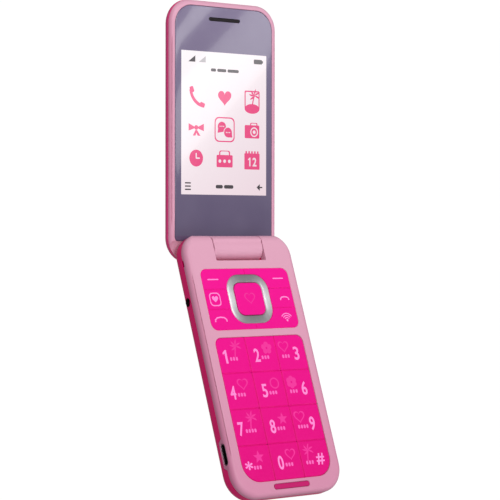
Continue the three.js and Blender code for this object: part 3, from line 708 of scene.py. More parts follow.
# ---------------------------------------------------------------- materials
class Value:
    """A number at a node's output, which takes part in ordinary sums."""

    def __init__(self, paint, socket):
        self.paint, self.socket = paint, socket

    def sum(self, operation, first, second):
        node = self.paint.node("ShaderNodeMath", {"operation": operation}, {0: first, 1: second})
        return Value(self.paint, node.outputs[0])

    def __add__(self, other):
        return self.sum("ADD", self, other)

    def __sub__(self, other):
        return self.sum("SUBTRACT", self, other)

    def __rsub__(self, other):
        return self.sum("SUBTRACT", other, self)

    def __mul__(self, other):
        return self.sum("MULTIPLY", self, other)

    def __truediv__(self, other):
        return self.sum("DIVIDE", self, other)

    def __gt__(self, other):
        return self.sum("GREATER_THAN", self, other)

    def __pow__(self, other):
        return self.sum("POWER", self, other)

    __radd__ = __add__
    __rmul__ = __mul__


class Paint:
    """A material under construction."""

    def __init__(self, name):
        self.material = bpy.data.materials.new(name)
        self.material.use_nodes = True
        self.nodes = self.material.node_tree.nodes
        self.links = self.material.node_tree.links
        self.shader = next(n for n in self.nodes if n.type == "BSDF_PRINCIPLED")
        self.place = self.node("ShaderNodeTexCoord").outputs["Object"]

    def node(self, kind, settings=None, inputs=None):
        """Any node: its settings first, then the values or links of its inputs."""
        made = self.nodes.new(kind)
        for key, value in (settings or {}).items():
            setattr(made, key, value)
        for key, value in (inputs or {}).items():
            self.feed(made.inputs[key], value)
        return made

    def feed(self, socket, value):
        value = value.socket if isinstance(value, Value) else value
        if isinstance(value, bpy.types.NodeSocket):
            self.links.new(value, socket)
        elif socket.type == "RGBA":
            socket.default_value = (*value, 1)
        else:
            socket.default_value = value

    def stretched(self, x=1.0, y=1.0, z=1.0, turn=0.0):
        """Object coordinates, stretched along the axes."""
        return self.node("ShaderNodeMapping", None, {
            "Vector": self.place, "Rotation": (0, 0, turn), "Scale": (x, y, z),
        }).outputs[0]

    def along(self, axis, start, end):
        """0 to 1 between two places in metres along an axis of the row frame."""
        parts = self.node("ShaderNodeSeparateXYZ", None, {0: self.place})
        return Value(self, self.node("ShaderNodeMapRange", {"clamp": True}, {
            "Value": parts.outputs[axis], "From Min": start, "From Max": end,
        }).outputs[0])

    def noise(self, scale, detail=3.0, vector=None):
        """Cloudy variation about 0.5; scale is in features a metre."""
        node = self.node("ShaderNodeTexNoise", None, {
            "Vector": vector or self.place, "Scale": scale, "Detail": detail, "Roughness": 0.55,
        })
        return Value(self, node.outputs[0])

    def specks(self, scale):
        """Distance from scattered points, for pits and glitter."""
        node = self.node("ShaderNodeTexVoronoi", None, {"Vector": self.place, "Scale": scale})
        return Value(self, node.outputs["Distance"])

    def mix(self, share, first, second):
        node = self.node("ShaderNodeMix", {"data_type": "RGBA"}, {0: share, 6: first, 7: second})
        return node.outputs[2]

    def handled(self, roughness, fine):
        """Roughness of a housing, with drawn-out handling marks and a fine grain."""
        marks = self.noise(260, 5, self.stretched(1, 0.16, 1, 0.5))
        return roughness + 0.16 * (marks - 0.5) + 0.05 * (fine - 0.5)

    def smeared(self, roughness):
        """Roughness of glass that has been wiped."""
        smears = self.noise(210, 4, self.stretched(1, 0.25, 1, 0.9))
        return roughness + 0.05 * (smears - 0.4)

    def bump(self, height, depth):
        """A surface relief, depth in millimetres."""
        return self.node("ShaderNodeBump", None, {
            "Strength": 1.0, "Distance": depth * MM, "Height": height,
        }).outputs[0]

    def set(self, **sockets):
        """Shader inputs by name, with _ for a space."""
        for key, value in sockets.items():
            self.feed(self.shader.inputs[key.replace("_", " ")], value)
        return self.material


def shaded(colour, share):
    return tuple(channel * share for channel in colour[:])


def moulded(name, colour, roughness, grain, relief):
    """Moulded plastic: slow colour drift, fine grain and handling marks."""
    paint = Paint(name)
    drifting = paint.noise(55, 2)
    fine = paint.noise(grain, 2)
    return paint.set(
        Base_Color=paint.mix(drifting, shaded(colour, 0.93), colour),
        Roughness=paint.handled(roughness, fine),
        Normal=paint.bump(fine, relief), Specular_IOR_Level=0.22,
    )


SIDE_SHADE = linear(190, 84, 132)  # painted shade of the front frames on their rounded outer edges
SIDE_SHADE_WIDTH = 2.6
SIDE_SHADE_SHARE = 0.4
CLOUD_PINK = (0.3, 0.08, 0.15)


def make_frame_pink(colours):
    """Pale satin plastic with painted shade: it deepens towards the foot of the keypad half and towards
    the rounded outer edges.
    """
    paint = Paint("frame_pink_satin_painted_shade")
    # painted shade: the colour darkens from the hinge end towards the foot
    tone = paint.mix(paint.along(1, FRONT.y1 * MM, FRONT.y0 * MM), colours.frame_pink, colours.frame_foot_painted_shade)
    across = Value(paint, paint.node("ShaderNodeSeparateXYZ", None, {0: paint.place}).outputs[0])
    start, end = ((HALF - SIDE_SHADE_WIDTH) * MM) ** 2, (HALF * MM) ** 2
    edge = (across * across - start) / (end - start)
    # painted shade: the colour darkens over the last stretch towards the rounded outer edges
    tone = paint.mix(SIDE_SHADE_SHARE * edge, tone, SIDE_SHADE)
    fine = paint.noise(2600, 2)
    return paint.set(
        Base_Color=paint.mix(0.06 * paint.noise(55, 2), tone, CLOUD_PINK),
        Roughness=paint.handled(0.42, fine),
        Normal=paint.bump(fine, 0.006), Specular_IOR_Level=0.3,
    )


def make_key_pink(colours):
    """Smooth key film with fine glitter, deeper in tone towards the foot."""
    paint = Paint("key_pink_film")
    down = paint.along(1, Span("nav_ring").y1 * MM, FRONT.y0 * MM)
    tone = paint.mix(down, colours.key_head, colours.key_foot)
    sparkle = paint.specks(1900)
    cloud = paint.noise(170, 2)
    return paint.set(
        Base_Color=paint.mix(0.10 * cloud + 0.06 * (sparkle > 0.62), tone, colours.key_tint),
        Roughness=0.34 + 0.14 * (paint.noise(420, 4, paint.stretched(1, 0.2, 1, 0.7)) - 0.4),
        Normal=paint.bump(paint.noise(900, 1), 0.003),
        Specular_IOR_Level=0.12,
    )


def make_print(name, colour, glow=0.0):
    """Screen-printed ink: slightly uneven and a little rough."""
    paint = Paint(name)
    uneven = paint.noise(2600, 3)
    return paint.set(
        Base_Color=paint.mix(uneven, shaded(colour, 0.94), colour),
        Roughness=0.32 + 0.12 * (uneven - 0.5),
        Normal=paint.bump(uneven, 0.003),
        Emission_Color=colour, Emission_Strength=glow,
    )


def make_brushed(name, colour, roughness):
    """Brushed or stamped metal with its fine lines along X."""
    paint = Paint(name)
    lines = paint.noise(90, 4, paint.stretched(1, 46, 46))
    return paint.set(
        Base_Color=paint.mix(lines, shaded(colour, 0.86), colour),
        Roughness=roughness + 0.14 * (lines - 0.5), Normal=paint.bump(lines, 0.004), Metallic=1.0,
    )


RING_METAL = 0.35
REFLECTION_FAN_POWER = 1.6  # how narrowly the painted reflection gathers on the ring's two sides
NEVER_ZERO = 1e-9


def make_ring_metal(colours):
    """Spun metal with a painted reflection: its colour is lighter on the two sides of the ring than at the
    head and foot, standing in for the lustre.
    """
    paint = Paint("ring_spun_metal_painted_reflection")
    ring = Span("nav_ring")
    parts = paint.node("ShaderNodeSeparateXYZ", None, {0: paint.place}).outputs
    across = Value(paint, parts[0]) - ring.x * MM
    along = Value(paint, parts[1]) - ring.y * MM
    sides = across * across / (across * across + along * along + NEVER_ZERO)
    lines = paint.noise(1400, 3, paint.stretched(1, 0.25, 1, 0.8))
    # painted reflection: lighter on the ring's sides, darker at its head and foot
    painted_reflection = (sides ** REFLECTION_FAN_POWER) * 0.9 + 0.16 * (lines - 0.5)
    return paint.set(
        Base_Color=paint.mix(painted_reflection, shaded(colours.metal, 0.3), colours.metal),
        Roughness=0.42 + 0.16 * (lines - 0.5), Normal=paint.bump(lines, 0.002), Metallic=RING_METAL,
    )


def up_the_lid(paint, span):
    """0 to 1 from the hinge end to the far end of a piece in the lid's face."""
    ends = ((LID @ Vector((0, y * MM, FACE * MM))).y for y in (span.y0, span.y1))
    return paint.along(1, *ends)


def make_front_glass(colours):
    """Clear glass over a printed grey-violet border, with a painted reflection that makes it lighter at
    the far end.
    """
    paint = Paint("front_glass_border_painted_reflection")
    haze = paint.noise(45, 2)
    # painted reflection: the border's colour lightens from the hinge end to the far end
    tone = paint.mix(up_the_lid(paint, GLASS), colours.glass_reflection_hinge, colours.glass_reflection_far)
    return paint.set(
        Base_Color=paint.mix(0.12 * haze, tone, linear(190, 182, 205)),
        Roughness=paint.smeared(0.07), Normal=paint.bump(paint.noise(60, 1), 0.002),
        Coat_Weight=0.6, Coat_Roughness=0.03,
    )


def make_rear_glass():
    """Dark tinted glass of the outer window."""
    paint = Paint("rear_glass_tint")
    smears = paint.noise(190, 4, paint.stretched(1, 0.3, 1, 0.4))
    return paint.set(
        Base_Color=paint.mix(paint.noise(40, 2), linear(74, 30, 54), linear(96, 40, 70)),
        Roughness=0.07 + 0.06 * (smears - 0.4),
        Normal=paint.bump(paint.noise(60, 1), 0.002),
        Coat_Weight=0.6, Coat_Roughness=0.03,
    )


def make_lit(name, first, second, strength):
    """A lit part of the display: it glows from first to second, with the panel's fine grain."""
    paint = Paint(name)
    leftwards = paint.along(0, LIT[0] / 2 * MM, -LIT[0] / 2 * MM)
    grain = paint.noise(5200, 1)
    tone = paint.mix(0.65 * up_the_lid(paint, DISPLAY) + 0.35 * leftwards, first, second)
    tone = paint.mix(0.05 * grain, tone, shaded(first, 0.8))
    unlit = paint.mix(0.8, tone, (0, 0, 0))
    return paint.set(
        Base_Color=unlit, Emission_Color=tone, Emission_Strength=strength,
        Roughness=paint.smeared(0.08), Coat_Weight=0.4, Coat_Roughness=0.03,
    )


def make_board():
    """Solder mask with copper runs showing through."""
    paint = Paint("solder_mask")
    runs = paint.node("ShaderNodeTexBrick", {"offset": 0.5}, {
        "Vector": paint.place, "Scale": 260.0, "Mortar Size": 0.03,
        "Color1": linear(20, 92, 58), "Color2": linear(16, 80, 50), "Mortar": linear(64, 128, 72),
    })
    return paint.set(
        Base_Color=runs.outputs[0], Roughness=0.38 + 0.2 * (paint.noise(700) - 0.5),
        Normal=paint.bump(paint.noise(1500), 0.01),
    )


def make_cell_wrap():
    """Printed shrink wrap, creased a little."""
    paint = Paint("cell_shrink_wrap")
    creases = paint.noise(120, 5, paint.stretched(1, 0.3, 1))
    return paint.set(
        Base_Color=paint.mix(paint.along(1, 0.012, 0.0125), linear(214, 214, 218), linear(60, 62, 70)),
        Roughness=0.42 + 0.2 * (creases - 0.5), Normal=paint.bump(creases, 0.05),
    )


def make_lens():
    """A dark coated lens."""
    paint = Paint("camera_lens")
    tint = paint.noise(500, 1)
    return paint.set(
        Base_Color=paint.mix(tint, linear(12, 8, 22), linear(30, 16, 44)),
        Roughness=0.05 + 0.02 * tint, Coat_Weight=1.0, Coat_Roughness=0.02,
    )


def brushed(name, *display, roughness=0.36):
    return lambda colours: make_brushed(name, linear(*display), roughness)


def lit(name, first, second, strength):
    return lambda colours: make_lit(name, linear(*first), linear(*second), strength)


MAKERS = {
    "frame_pink": make_frame_pink,
    "shell_magenta": lambda c: moulded("shell_magenta_satin", c.shell_magenta, 0.36, 2100, 0.004),
    "lid_shell": lambda c: moulded("lid_shell_satin", c.lid_shell, 0.36, 2100, 0.004),
    "key_pink": make_key_pink,
    "key_print": lambda c: make_print("digit_ink", c.key_print, 0.06),
    "key_letters": lambda c: make_print("dot_ink", c.key_letters),
    "key_tint": lambda c: make_print("pictogram_ink", c.key_tint),
    "bumper_rubber": lambda c: moulded("bumper_rubber", c.bumper_pink, 0.62, 1600, 0.02),
    "nav_metal": make_ring_metal,
    "front_glass": make_front_glass,
    "rear_glass": lambda c: make_rear_glass(),
    "picture_ground": lit("picture_ground", (236, 214, 223), (255, 249, 252), 0.8),
    "picture_pink": lambda c: make_lit("picture_pink", shaded(c.icon_pink, 0.9), c.icon_pink, 0.72),
    "picture_dark": lit("picture_dark", (70, 64, 70), (96, 90, 96), 0.7),
    "picture_pale": lit("picture_pale", (176, 170, 176), (190, 186, 190), 0.85),
    "steel": brushed("plated_steel", 176, 177, 182),
    "socket_steel": brushed("socket_shell", 120, 112, 118, roughness=0.3),
    "contact_gold": brushed("contact_gold", 214, 170, 92, roughness=0.25),
    "dark_plastic": lambda c: moulded("dark_plastic", linear(34, 28, 32), 0.5, 1900, 0.012),
    "circuit_board": lambda c: make_board(),
    "flex_copper": lambda c: moulded("flexible_circuit", linear(176, 112, 46), 0.42, 900, 0.01),
    "cell_wrap": lambda c: make_cell_wrap(),
    "silicone": lambda c: moulded("silicone_mat", linear(232, 222, 228), 0.55, 1300, 0.015),
    "display_panel": lambda c: moulded("display_module", linear(60, 58, 66), 0.3, 1200, 0.004),
    "lens": lambda c: make_lens(),
    "diffuser": lambda c: moulded("flash_diffuser", linear(240, 236, 214), 0.3, 2200, 0.02),
}
READY = {}


def finish(slot):
    """The material of a slot, made once."""
    if slot not in READY:
        READY[slot] = MAKERS[slot](bpy.context.scene.phone_colours)
    return READY[slot]


def setting(name):
    """A size from the settings, in millimetres."""
    return getattr(bpy.context.scene.phone_sizes, name) / MM


# ---------------------------------------------------------------- rows made by geometry nodes
def row_tree():
    """Copies of a piece on a grid: made once, with its sizes as named inputs."""
    tree = bpy.data.node_groups.get("grid_of_pieces")
    if tree:
        return tree
    tree = bpy.data.node_groups.new("grid_of_pieces", "GeometryNodeTree")
    tree.interface.new_socket("Geometry", in_out="INPUT", socket_type="NodeSocketGeometry")
    for name, kind in (
        ("Piece", "Object"), ("Across", "Int"), ("Across step", "Vector"),
        ("Along", "Int"), ("Along step", "Vector"), ("Start", "Vector"), ("Finish", "Material"),
    ):
        tree.interface.new_socket(name, in_out="INPUT", socket_type=f"NodeSocket{kind}")
    tree.interface.new_socket("Geometry", in_out="OUTPUT", socket_type="NodeSocketGeometry")
    given = tree.nodes.new("NodeGroupInput").outputs
    result = tree.nodes.new("NodeGroupOutput").inputs

    def add(kind, links):
        node = tree.nodes.new(kind)
        for socket, source in links.items():
            tree.links.new(source, node.inputs[socket])
        return node

    piece = add("GeometryNodeObjectInfo", {"Object": given["Piece"]})
    across = add("GeometryNodeMeshLine", {
        "Count": given["Across"], "Start Location": given["Start"], "Offset": given["Across step"],
    })
    along = add("GeometryNodeMeshLine", {"Count": given["Along"], "Offset": given["Along step"]})
    row = add("GeometryNodeInstanceOnPoints", {
        "Points": across.outputs[0], "Instance": piece.outputs["Geometry"],
    })
    rows = add("GeometryNodeInstanceOnPoints", {
        "Points": along.outputs[0], "Instance": row.outputs[0],
    })
    real = add("GeometryNodeRealizeInstances", {0: rows.outputs[0]})
    coloured = add("GeometryNodeSetMaterial", {
        "Geometry": real.outputs[0], "Material": given["Finish"],
    })
    tree.links.new(coloured.outputs[0], result[0])
    return tree


def rows_of(piece, start, across, across_step, along, along_step, slot):
    """A grid of copies of piece, as one plain mesh in millimetres; piece is used up."""
    holder = bpy.data.objects.new("rows", bpy.data.meshes.new("rows"))
    bpy.context.scene.collection.objects.link(holder)
    modifier = holder.modifiers.new("rows", "NODES")
    modifier.node_group = row_tree()
    values = {
        "Piece": piece, "Start": start, "Across": across, "Across step": across_step,
        "Along": along, "Along step": along_step, "Finish": finish(slot),
    }
    for item in modifier.node_group.interface.items_tree:
        if item.in_out == "INPUT" and item.name in values:
            modifier[item.identifier] = values[item.name]
    applied(holder)
    bpy.data.objects.remove(piece)
    return holder


# ---------------------------------------------------------------- housings of the keypad half
BASE_OUTLINE = rounded(
    -HALF, FRONT.y0, HALF, FRONT.y1, (TOP_CORNER, TOP_CORNER, FOOT_CORNER, FOOT_CORNER),
)
FAR = 200  # past everything, for cutters
NAV = Span("softkey_left")  # at the head of the navigation panel, on its left
PAD = Span("key_1")
PAD_END = Span("key_hash")


def panel_outlines():
    """The navigation panel and the number panel."""
    foot = Span("call_key").y0
    nav = rounded(NAV.x0, foot, -NAV.x0, NAV.y1, PAD_TOP_CORNER)
    pad = rounded(
        NAV.x0, PAD_END.y0 - KEY_SPARE, -NAV.x0, PAD.y1 + KEY_SPARE,
        (PAD_TOP_CORNER, PAD_TOP_CORNER, PAD_FOOT_CORNER, PAD_FOOT_CORNER),
    )
    return nav, pad


def shoulder_profile():
    """The side view that rounds the hinge shoulders."""
    side = rounded(FRONT.y0 - 20, -20, FRONT.y1, FRONT.z1, (1, SHOULDER_ROUND, 1, 1))
    return loft(side, [(0, -FAR), (0, FAR)], RIGHT_WALL)


def barrel_slot(extra=0.0):
    """The opening between the shoulders."""
    mouth = rounded(-SLOT_HALF, HINGE_Y - BARREL_RADIUS - TURN_GAP - extra, SLOT_HALF, FAR, 0.5)
    return flared(mouth, -5, FRONT.z1, setting("rim_edge"))


def shoulder_bores():
    """Cutters for the hinge's cam pin on the right and its bush on the left."""
    pin, bush = Span("hinge_cam_pin"), Span("hinge_bush")
    return (
        rod(pin.y1 - HINGE_Y + GAP, SLOT_HALF - 1, pin.x1 + GAP, HINGE_Y, HINGE_Z, 36),
        rod(BUSH_RADIUS, bush.x0 - GAP, -SLOT_HALF + 1, HINGE_Y, HINGE_Z, 36),
    )


USB = Span("usb_socket")
JACK = Span("audio_jack")
STRAP = (HINGE_Y - 6.6, 2.7, 1.1, 1.9)  # place along the half, length, height and depth
DIP_SPARE = 0.8  # of the tongue past each end of the data socket, and the run of its slope
DIP_SLOPE = 1.6


def left_hole(y, z, width, height, deep, round_share=0.5, edge=0.18):
    """A rounded cut into the left side wall, to a depth from its face."""
    corner = min(width, height) * round_share - 0.01
    return flared(centred(-y, z, width, height, corner), HALF - deep, HALF, edge, LEFT_WALL)


def side_cuts():
    """The data socket's tunnel and the strap slot."""
    y, length, height, deep = STRAP
    return (
        left_hole(USB.y, USB.z, USB.long + 2 * GAP, USB.tall + 2 * GAP, 3.0),
        left_hole(y, SEAM, length, height, deep, 0.4, 0.12),
    )


def usb_dip(grow, outside=0.0):
    """The front frame's tongue round the data socket, with sloping ends."""
    bottom = FRONT.z0 - grow
    flat = USB.long / 2 + DIP_SPARE + grow
    shape = [
        (-USB.y - flat, bottom), (-USB.y + flat, bottom),
        (-USB.y + flat + DIP_SLOPE, SEAM + 0.6), (-USB.y - flat - DIP_SLOPE, SEAM + 0.6),
    ]
    return loft(shrinking(shape), [(0, HALF - WALL), (0, HALF + outside)], LEFT_WALL)


def inner_outline(inset):
    """The keypad half's inside, seen from above."""
    corner = FOOT_CORNER - inset
    return rounded(-HALF + inset, FRONT.y0 + inset, HALF - inset, CAVITY_HEAD, (1, 1, corner, corner))


def base_pillow():
    return Pillow(BASE_OUTLINE, 0, FRONT.z1, setting("front_edge"))


def side_grooves(top, edge, y0, y1, reach):
    """Cutters for the long grooves on the left and right of a half's front rim."""
    depth = setting("groove_depth")
    return [groove_bar(HALF - edge, top - edge, edge, depth, y0, y1, side, reach) for side in (-1, 1)]


def build_front_frame():
    """The pale front frame, with its openings, bumper seat and styling grooves."""
    rim, soft = setting("rim_edge"), setting("seam_edge")
    body = join(base_pillow().slice(SEAM, FRONT.z1, soft_low=soft), usb_dip(0))
    nav, pad = panel_outlines()
    strip = Span("closing_bumper")
    seat = centred(0, strip.y, strip.wide + 2 * GAP, strip.long + 2 * GAP, 1.1)
    body = cut(
        keep(body, shoulder_profile()), barrel_slot(FRONT_SPARE),
        loft(inner_outline(WALL), [(0, SEAM - 4), (0, PLATE_UNDER)]),
        flared(grown(nav, KEY_SPARE), PLATE_UNDER - 1, FRONT.z1, rim),
        flared(grown(pad, KEY_SPARE), PLATE_UNDER - 1, FRONT.z1, rim),
        flared(seat, strip.z0 - GAP, FRONT.z1, 0.12),
        *shoulder_bores(), *side_cuts(),
    )
    foot, head, reach = BASE_GROOVE
    edge = setting("front_edge")
    body = cut(body, *side_grooves(FRONT.z1, edge, PAD_END.y0 + foot, NAV.y1 - head, reach))
    finished(body, "front_frame", BASE, ["keypad_frame"], [finish("frame_pink")])


BASE_SCREWS = [f"base_screw_{i}" for i in range(1, 5)]
SCREW = Span(BASE_SCREWS[0])
HEAD_BORE = 1.5  # radii of a screw's counterbore and of the hole for its shank
SHANK_BORE = 0.85
CELL_SPARE = 0.4  # round the battery and the loudspeaker in their bays
SPEAKER_SPARE = 0.3


def screw_places():
    spans = [Span(name) for name in BASE_SCREWS]
    return [(span.x, span.y) for span in spans]


def bay(span, spare, corner):
    """A cutter right through the floor round an inner piece."""
    return block(
        span.x0 - spare, span.x1 + spare, span.y0 - spare, span.y1 + spare, -1, FAR, corner,
    )


def build_rear_case():
    """The magenta middle housing, with the bays that open under the cover."""
    soft = setting("seam_edge")
    floor = COVER.z1 + GAP + FLOOR
    body = base_pillow().slice(0, CASE.z1, soft_high=soft)
    tools = [
        block(-FAR, FAR, -FAR, COVER.y1 + GAP, -5, COVER.z1 + GAP),
        loft(inner_outline(WALL), [(0, floor), (0, FAR)]),
        bay(Span("battery"), CELL_SPARE, 1), bay(Span("loudspeaker"), SPEAKER_SPARE, 2.3),
        usb_dip(GAP, 1.0), barrel_slot(REAR_SPARE), *shoulder_bores(), *side_cuts(),
    ]
    for x, y in screw_places():
        tools.append(post(HEAD_BORE, x, y, 0, SCREW.z0 + 0.9))
        tools.append(post(SHANK_BORE, x, y, 0, floor + 1))
    rocker = Span("volume_rocker")
    slot = centred(rocker.y, rocker.z, rocker.long + 0.6, rocker.tall + 0.3, 1.2)
    tools.append(flared(slot, HALF - 2.5, HALF, 0.15, RIGHT_WALL))
    tools.append(flared(circle(-JACK.y, JACK.z, 1.8), HALF - 2, HALF, 0.25, LEFT_WALL))
    body = cut(keep(body, shoulder_profile()), *tools)
    finished(body, "rear_case", BASE, ["rear_housing"], [finish("shell_magenta")])


SPEAKER_SLOT = (12.0, 1.0, 2.4)  # length, width and pitch
THUMB_RIB = (11, 0.7, 1.8)  # the same, and how far the first is from the cover's head end
THUMB_RIB_END = 16
COVER_INSET = 4.3  # from the cover's outline to its pocket


def build_cover_panel():
    """The slide-off battery cover, with sound slots and thumb ribs."""
    body = base_pillow().slice(0, COVER.z1, soft_high=0.1)
    speaker = Span("loudspeaker")
    length, width, pitch = SPEAKER_SLOT
    slot = flared(centred(0, 0, length, width, 0.49), -3, 0, 0.2, FACE_DOWN)
    slots = rows_of(slot, (0, speaker.y - pitch, 0), 1, (0, 0, 0), 3, (0, pitch, 0), "shell_magenta")
    length, width, pitch = THUMB_RIB
    rib = loft(centred(0, 0, length, width, 0.34), [(0, -1), (-0.12, 0.22)])
    grips = rows_of(rib, (0, COVER.y1 - THUMB_RIB_END, 0), 1, (0, 0, 0), 5, (0, pitch, 0), "shell_magenta")
    corner = FOOT_CORNER - COVER_INSET
    pocket = rounded(
        -HALF + COVER_INSET, COVER.y0 + COVER_INSET, HALF - COVER_INSET, COVER.y1 - WALL,
        (1, 1, corner, corner),
    )
    head_side = block(-FAR, FAR, COVER.y1, FAR, -5, FAR)
    body = cut(body, head_side, loft(pocket, [(0, FLOOR), (0, FAR)]), slots, grips)
    finished(body, "cover_panel", BASE, ["battery_cover"], [finish("shell_magenta")])


# ---------------------------------------------------------------- housings of the lid
LID_OUTLINE = rounded(-HALF, SHELL.y0, HALF, SHELL.y1, LID_CORNER)
EAR = Span("earpiece_grille", LID)


def window_outline():
    corners = (WINDOW_CORNER, WINDOW_CORNER, WINDOW_FOOT_CORNER, WINDOW_FOOT_CORNER)
    return rounded(GLASS.x0, GLASS.y0, GLASS.x1, GLASS.y1, corners)


def lid_pillow():
    return Pillow(LID_OUTLINE, SHELL.z0, FACE, setting("lid_edge"))


def lid_inner(inset):
    """The lid's inside, seen from the front."""
    return rounded(
        -HALF + inset, SHELL.y0 + inset, HALF - inset, SHELL.y1 - inset, LID_CORNER - inset,
    )


def ridged_circle():
    """The barrel's side view: a circle with a low ridge on the side of the glass."""
    low, high, fade = RIDGE_ANGLES
    points = []
    for degree in range(0, 360, 3):
        degree = (degree + 180) % 360 - 180
        share = max(0.0, min(1.0, (degree - low) / fade, (high - degree) / fade))
        radius = BARREL_RADIUS + RIDGE_RISE * share * share * (3 - 2 * share)
        angle = math.radians(degree)
        points.append((radius * math.cos(angle), radius * math.sin(angle)))
    return points


def barrel():
    """The lid's hinge barrel, with softened ends and the neck that carries it."""
    levels = pad_levels(-BARREL_LEFT, BARREL_HALF, BARREL_EDGE)
    round_bar = loft(shrinking(ridged_circle()), levels, RIGHT_WALL)
    neck = block(-BARREL_HALF, BARREL_HALF, -4.2, 3.2, LID_SEAM, 0)
    return round_bar, neck


def build_lid_front():
    """The pale rim of the lid with the hinge barrel."""
    rim, soft = setting("rim_edge"), setting("seam_edge")
    body = lid_pillow().slice(LID_SEAM, FACE, soft_low=soft)
    ledge = DISPLAY.z1
    seat = grown(window_outline(), GAP)
    hole = rounded(GLASS.x0 + 1.4, DISPLAY.y0 - 5, GLASS.x1 - 1.4, GLASS.y1 - 1.6, 5)
    beside = ((-HALF - 1, -BARREL_HALF), (BARREL_HALF, HALF + 1))
    troughs = [rod(TROUGH_RADIUS, x0, x1, 0, 0, 144) for x0, x1 in beside]
    through = loft(hole, [(0, LID_SEAM - 3), (0, FACE + 1)])
    body = cut(body, *troughs, flared(seat, ledge, FACE, rim), through)
    foot, head, reach = LID_GROOVE
    edge = setting("lid_edge")
    body = cut(body, *side_grooves(FACE, edge, SHELL.y0 + foot, SHELL.y1 - head, reach))
    round_bar, neck = barrel()
    neck = cut(neck, loft(seat, [(0, ledge), (0, FACE + 1)]))
    body = cut(join(body, neck, round_bar), rod(BORE_RADIUS, -HALF, HALF))
    finished(body, "lid_front_frame", LID, ["lid_bezel"], [finish("frame_pink")])


REAR = Span("outer_window", LID)
LEDGE = 1.2  # that the outer window rests on, and the inside's step at the lid's edge
STEP_IN = 4.6
STEP_TALL = 1.2


def build_lid_back():
    """The magenta outer shell of the lid."""
    body = lid_pillow().slice(SHELL.z0, SHELL.z1, soft_high=setting("seam_edge"))
    floor = SHELL.z0 + FLOOR + 0.2
    through = centred(
        0, REAR.y, REAR.wide - 2 * LEDGE, REAR.long - 2 * LEDGE, REAR_CORNER - LEDGE,
    )
    seat = centred(0, REAR.y, REAR.wide + 2 * GAP, REAR.long + 2 * GAP, REAR_CORNER + GAP)
    body = cut(
        body,
        join(
            loft(lid_inner(STEP_IN), [(0, floor), (0, floor + STEP_TALL + 0.2)]),
            loft(lid_inner(WALL), [(0, floor + STEP_TALL), (0, FAR)]),
        ),
        flared(seat, -REAR.z1 - GAP, -SHELL.z0, setting("rim_edge"), FACE_BACK),
        loft(through, [(0, SHELL.z0 - 1), (0, floor + 1)]),
    )
    finished(body, "lid_back_shell", LID, ["lid_outer_shell"], [finish("lid_shell")])


# ---------------------------------------------------------------- keys
DIGITS = {
    "key_1": "1", "key_2": "2", "key_3": "3", "key_4": "4", "key_5": "5", "key_6": "6",
    "key_7": "7", "key_8": "8", "key_9": "9", "key_star": "*", "key_0": "0", "key_hash": "#",
}
PRINT, LETTERS, TINT = 1, 2, 3  # material slots of a key after its film
KEY_SLOTS = ("key_pink", "key_print", "key_letters", "key_tint")
DIGIT_SHIFT = (-3.9, -2.93, 2.4)  # of each column's digits from the middle of the key
DOT_SHIFT = (-1.3, -0.33, -4.6)  # of its first dots
MARK_SHIFT = ((1.6, 2.5), (2.6, 2.3), (-3.4, 2.3))  # of its pictograms
DOT = (0.95, 1.5, 1.4)  # width, height and pitch
FOUR_DOTS = ("key_7", "key_9")  # the other keys have three
SIGN_SHARE = {"#": (1.5, 0.84), "*": (1.35, 0.62)}  # of a digit's width and height
FLANGE = 0.16  # how far a key reaches under the groove round it
MARK_PLACES = {
    "softkey_left": (-16.4, 34.35), "softkey_right": (16.4, 34.35), "shortcut_key": (-17.4, 26.1),
    "end_key": (17.5, 25.7), "call_key": (-16.7, 17.7), "sound_key": (16.5, 16.4),
}


def key_finishes():
    return [finish(slot) for slot in KEY_SLOTS]


def key_levels(span, edge):
    """A key's sides: a rounded upper edge over a flange that closes the groove from below."""
    shelf = span.z1 - edge - 0.06
    return [
        (0.1 - FLANGE, span.z0), (-FLANGE, span.z0 + 0.1), (-FLANGE, shelf), (0, shelf + 0.04),
        *over(edge, edge, span.z1),
    ]


def one(height):
    """A plain upright one with its flag."""
    half = height / 2
    stem = [(-0.05, -half), (0.95, -half), (0.95, half)]
    flag = [(0.25, half), (-0.95, half - 1.05), (-0.95, half - 1.85), (-0.05, half - 1.3)]
    return stem + flag


def key_marks(name, column, x, y):
    """The faint pictogram and the row of dots beside a digit."""
    pictures = {
        "key_1": (palm(), 6.4), "key_2": (flower(), 5.6), "key_3": (outlined(heart()), 5.6),
        "key_4": (outlined(heart()), 5.6), "key_5": (outlined(disc(0.5)), 4.6),
        "key_6": (flower(6), 5.6), "key_7": (palm(), 6.4), "key_8": ([star()], 5.2),
        "key_9": (outlined(heart()), 5.8), "key_star": ([star()], 5.4),
        "key_0": (outlined(heart()), 5.4), "key_hash": (palm(), 6.2),
    }
    loops, size = pictures[name]
    dx, dy = MARK_SHIFT[column]
    whole = [moved(loop, x + dx, y + dy, size) for loop in loops]
    hollow = len(loops) == 2  # a loop and its hole
    prints = [(whole, TINT)] if hollow else [([loop], TINT) for loop in whole]
    start = x + DOT_SHIFT[column]
    wide, high, pitch = DOT
    for i in range(4 if name in FOUR_DOTS else 3):
        prints.append(([moved(bar(wide, high, 0.45), start + pitch * i, y - 1.5)], LETTERS))
    return prints


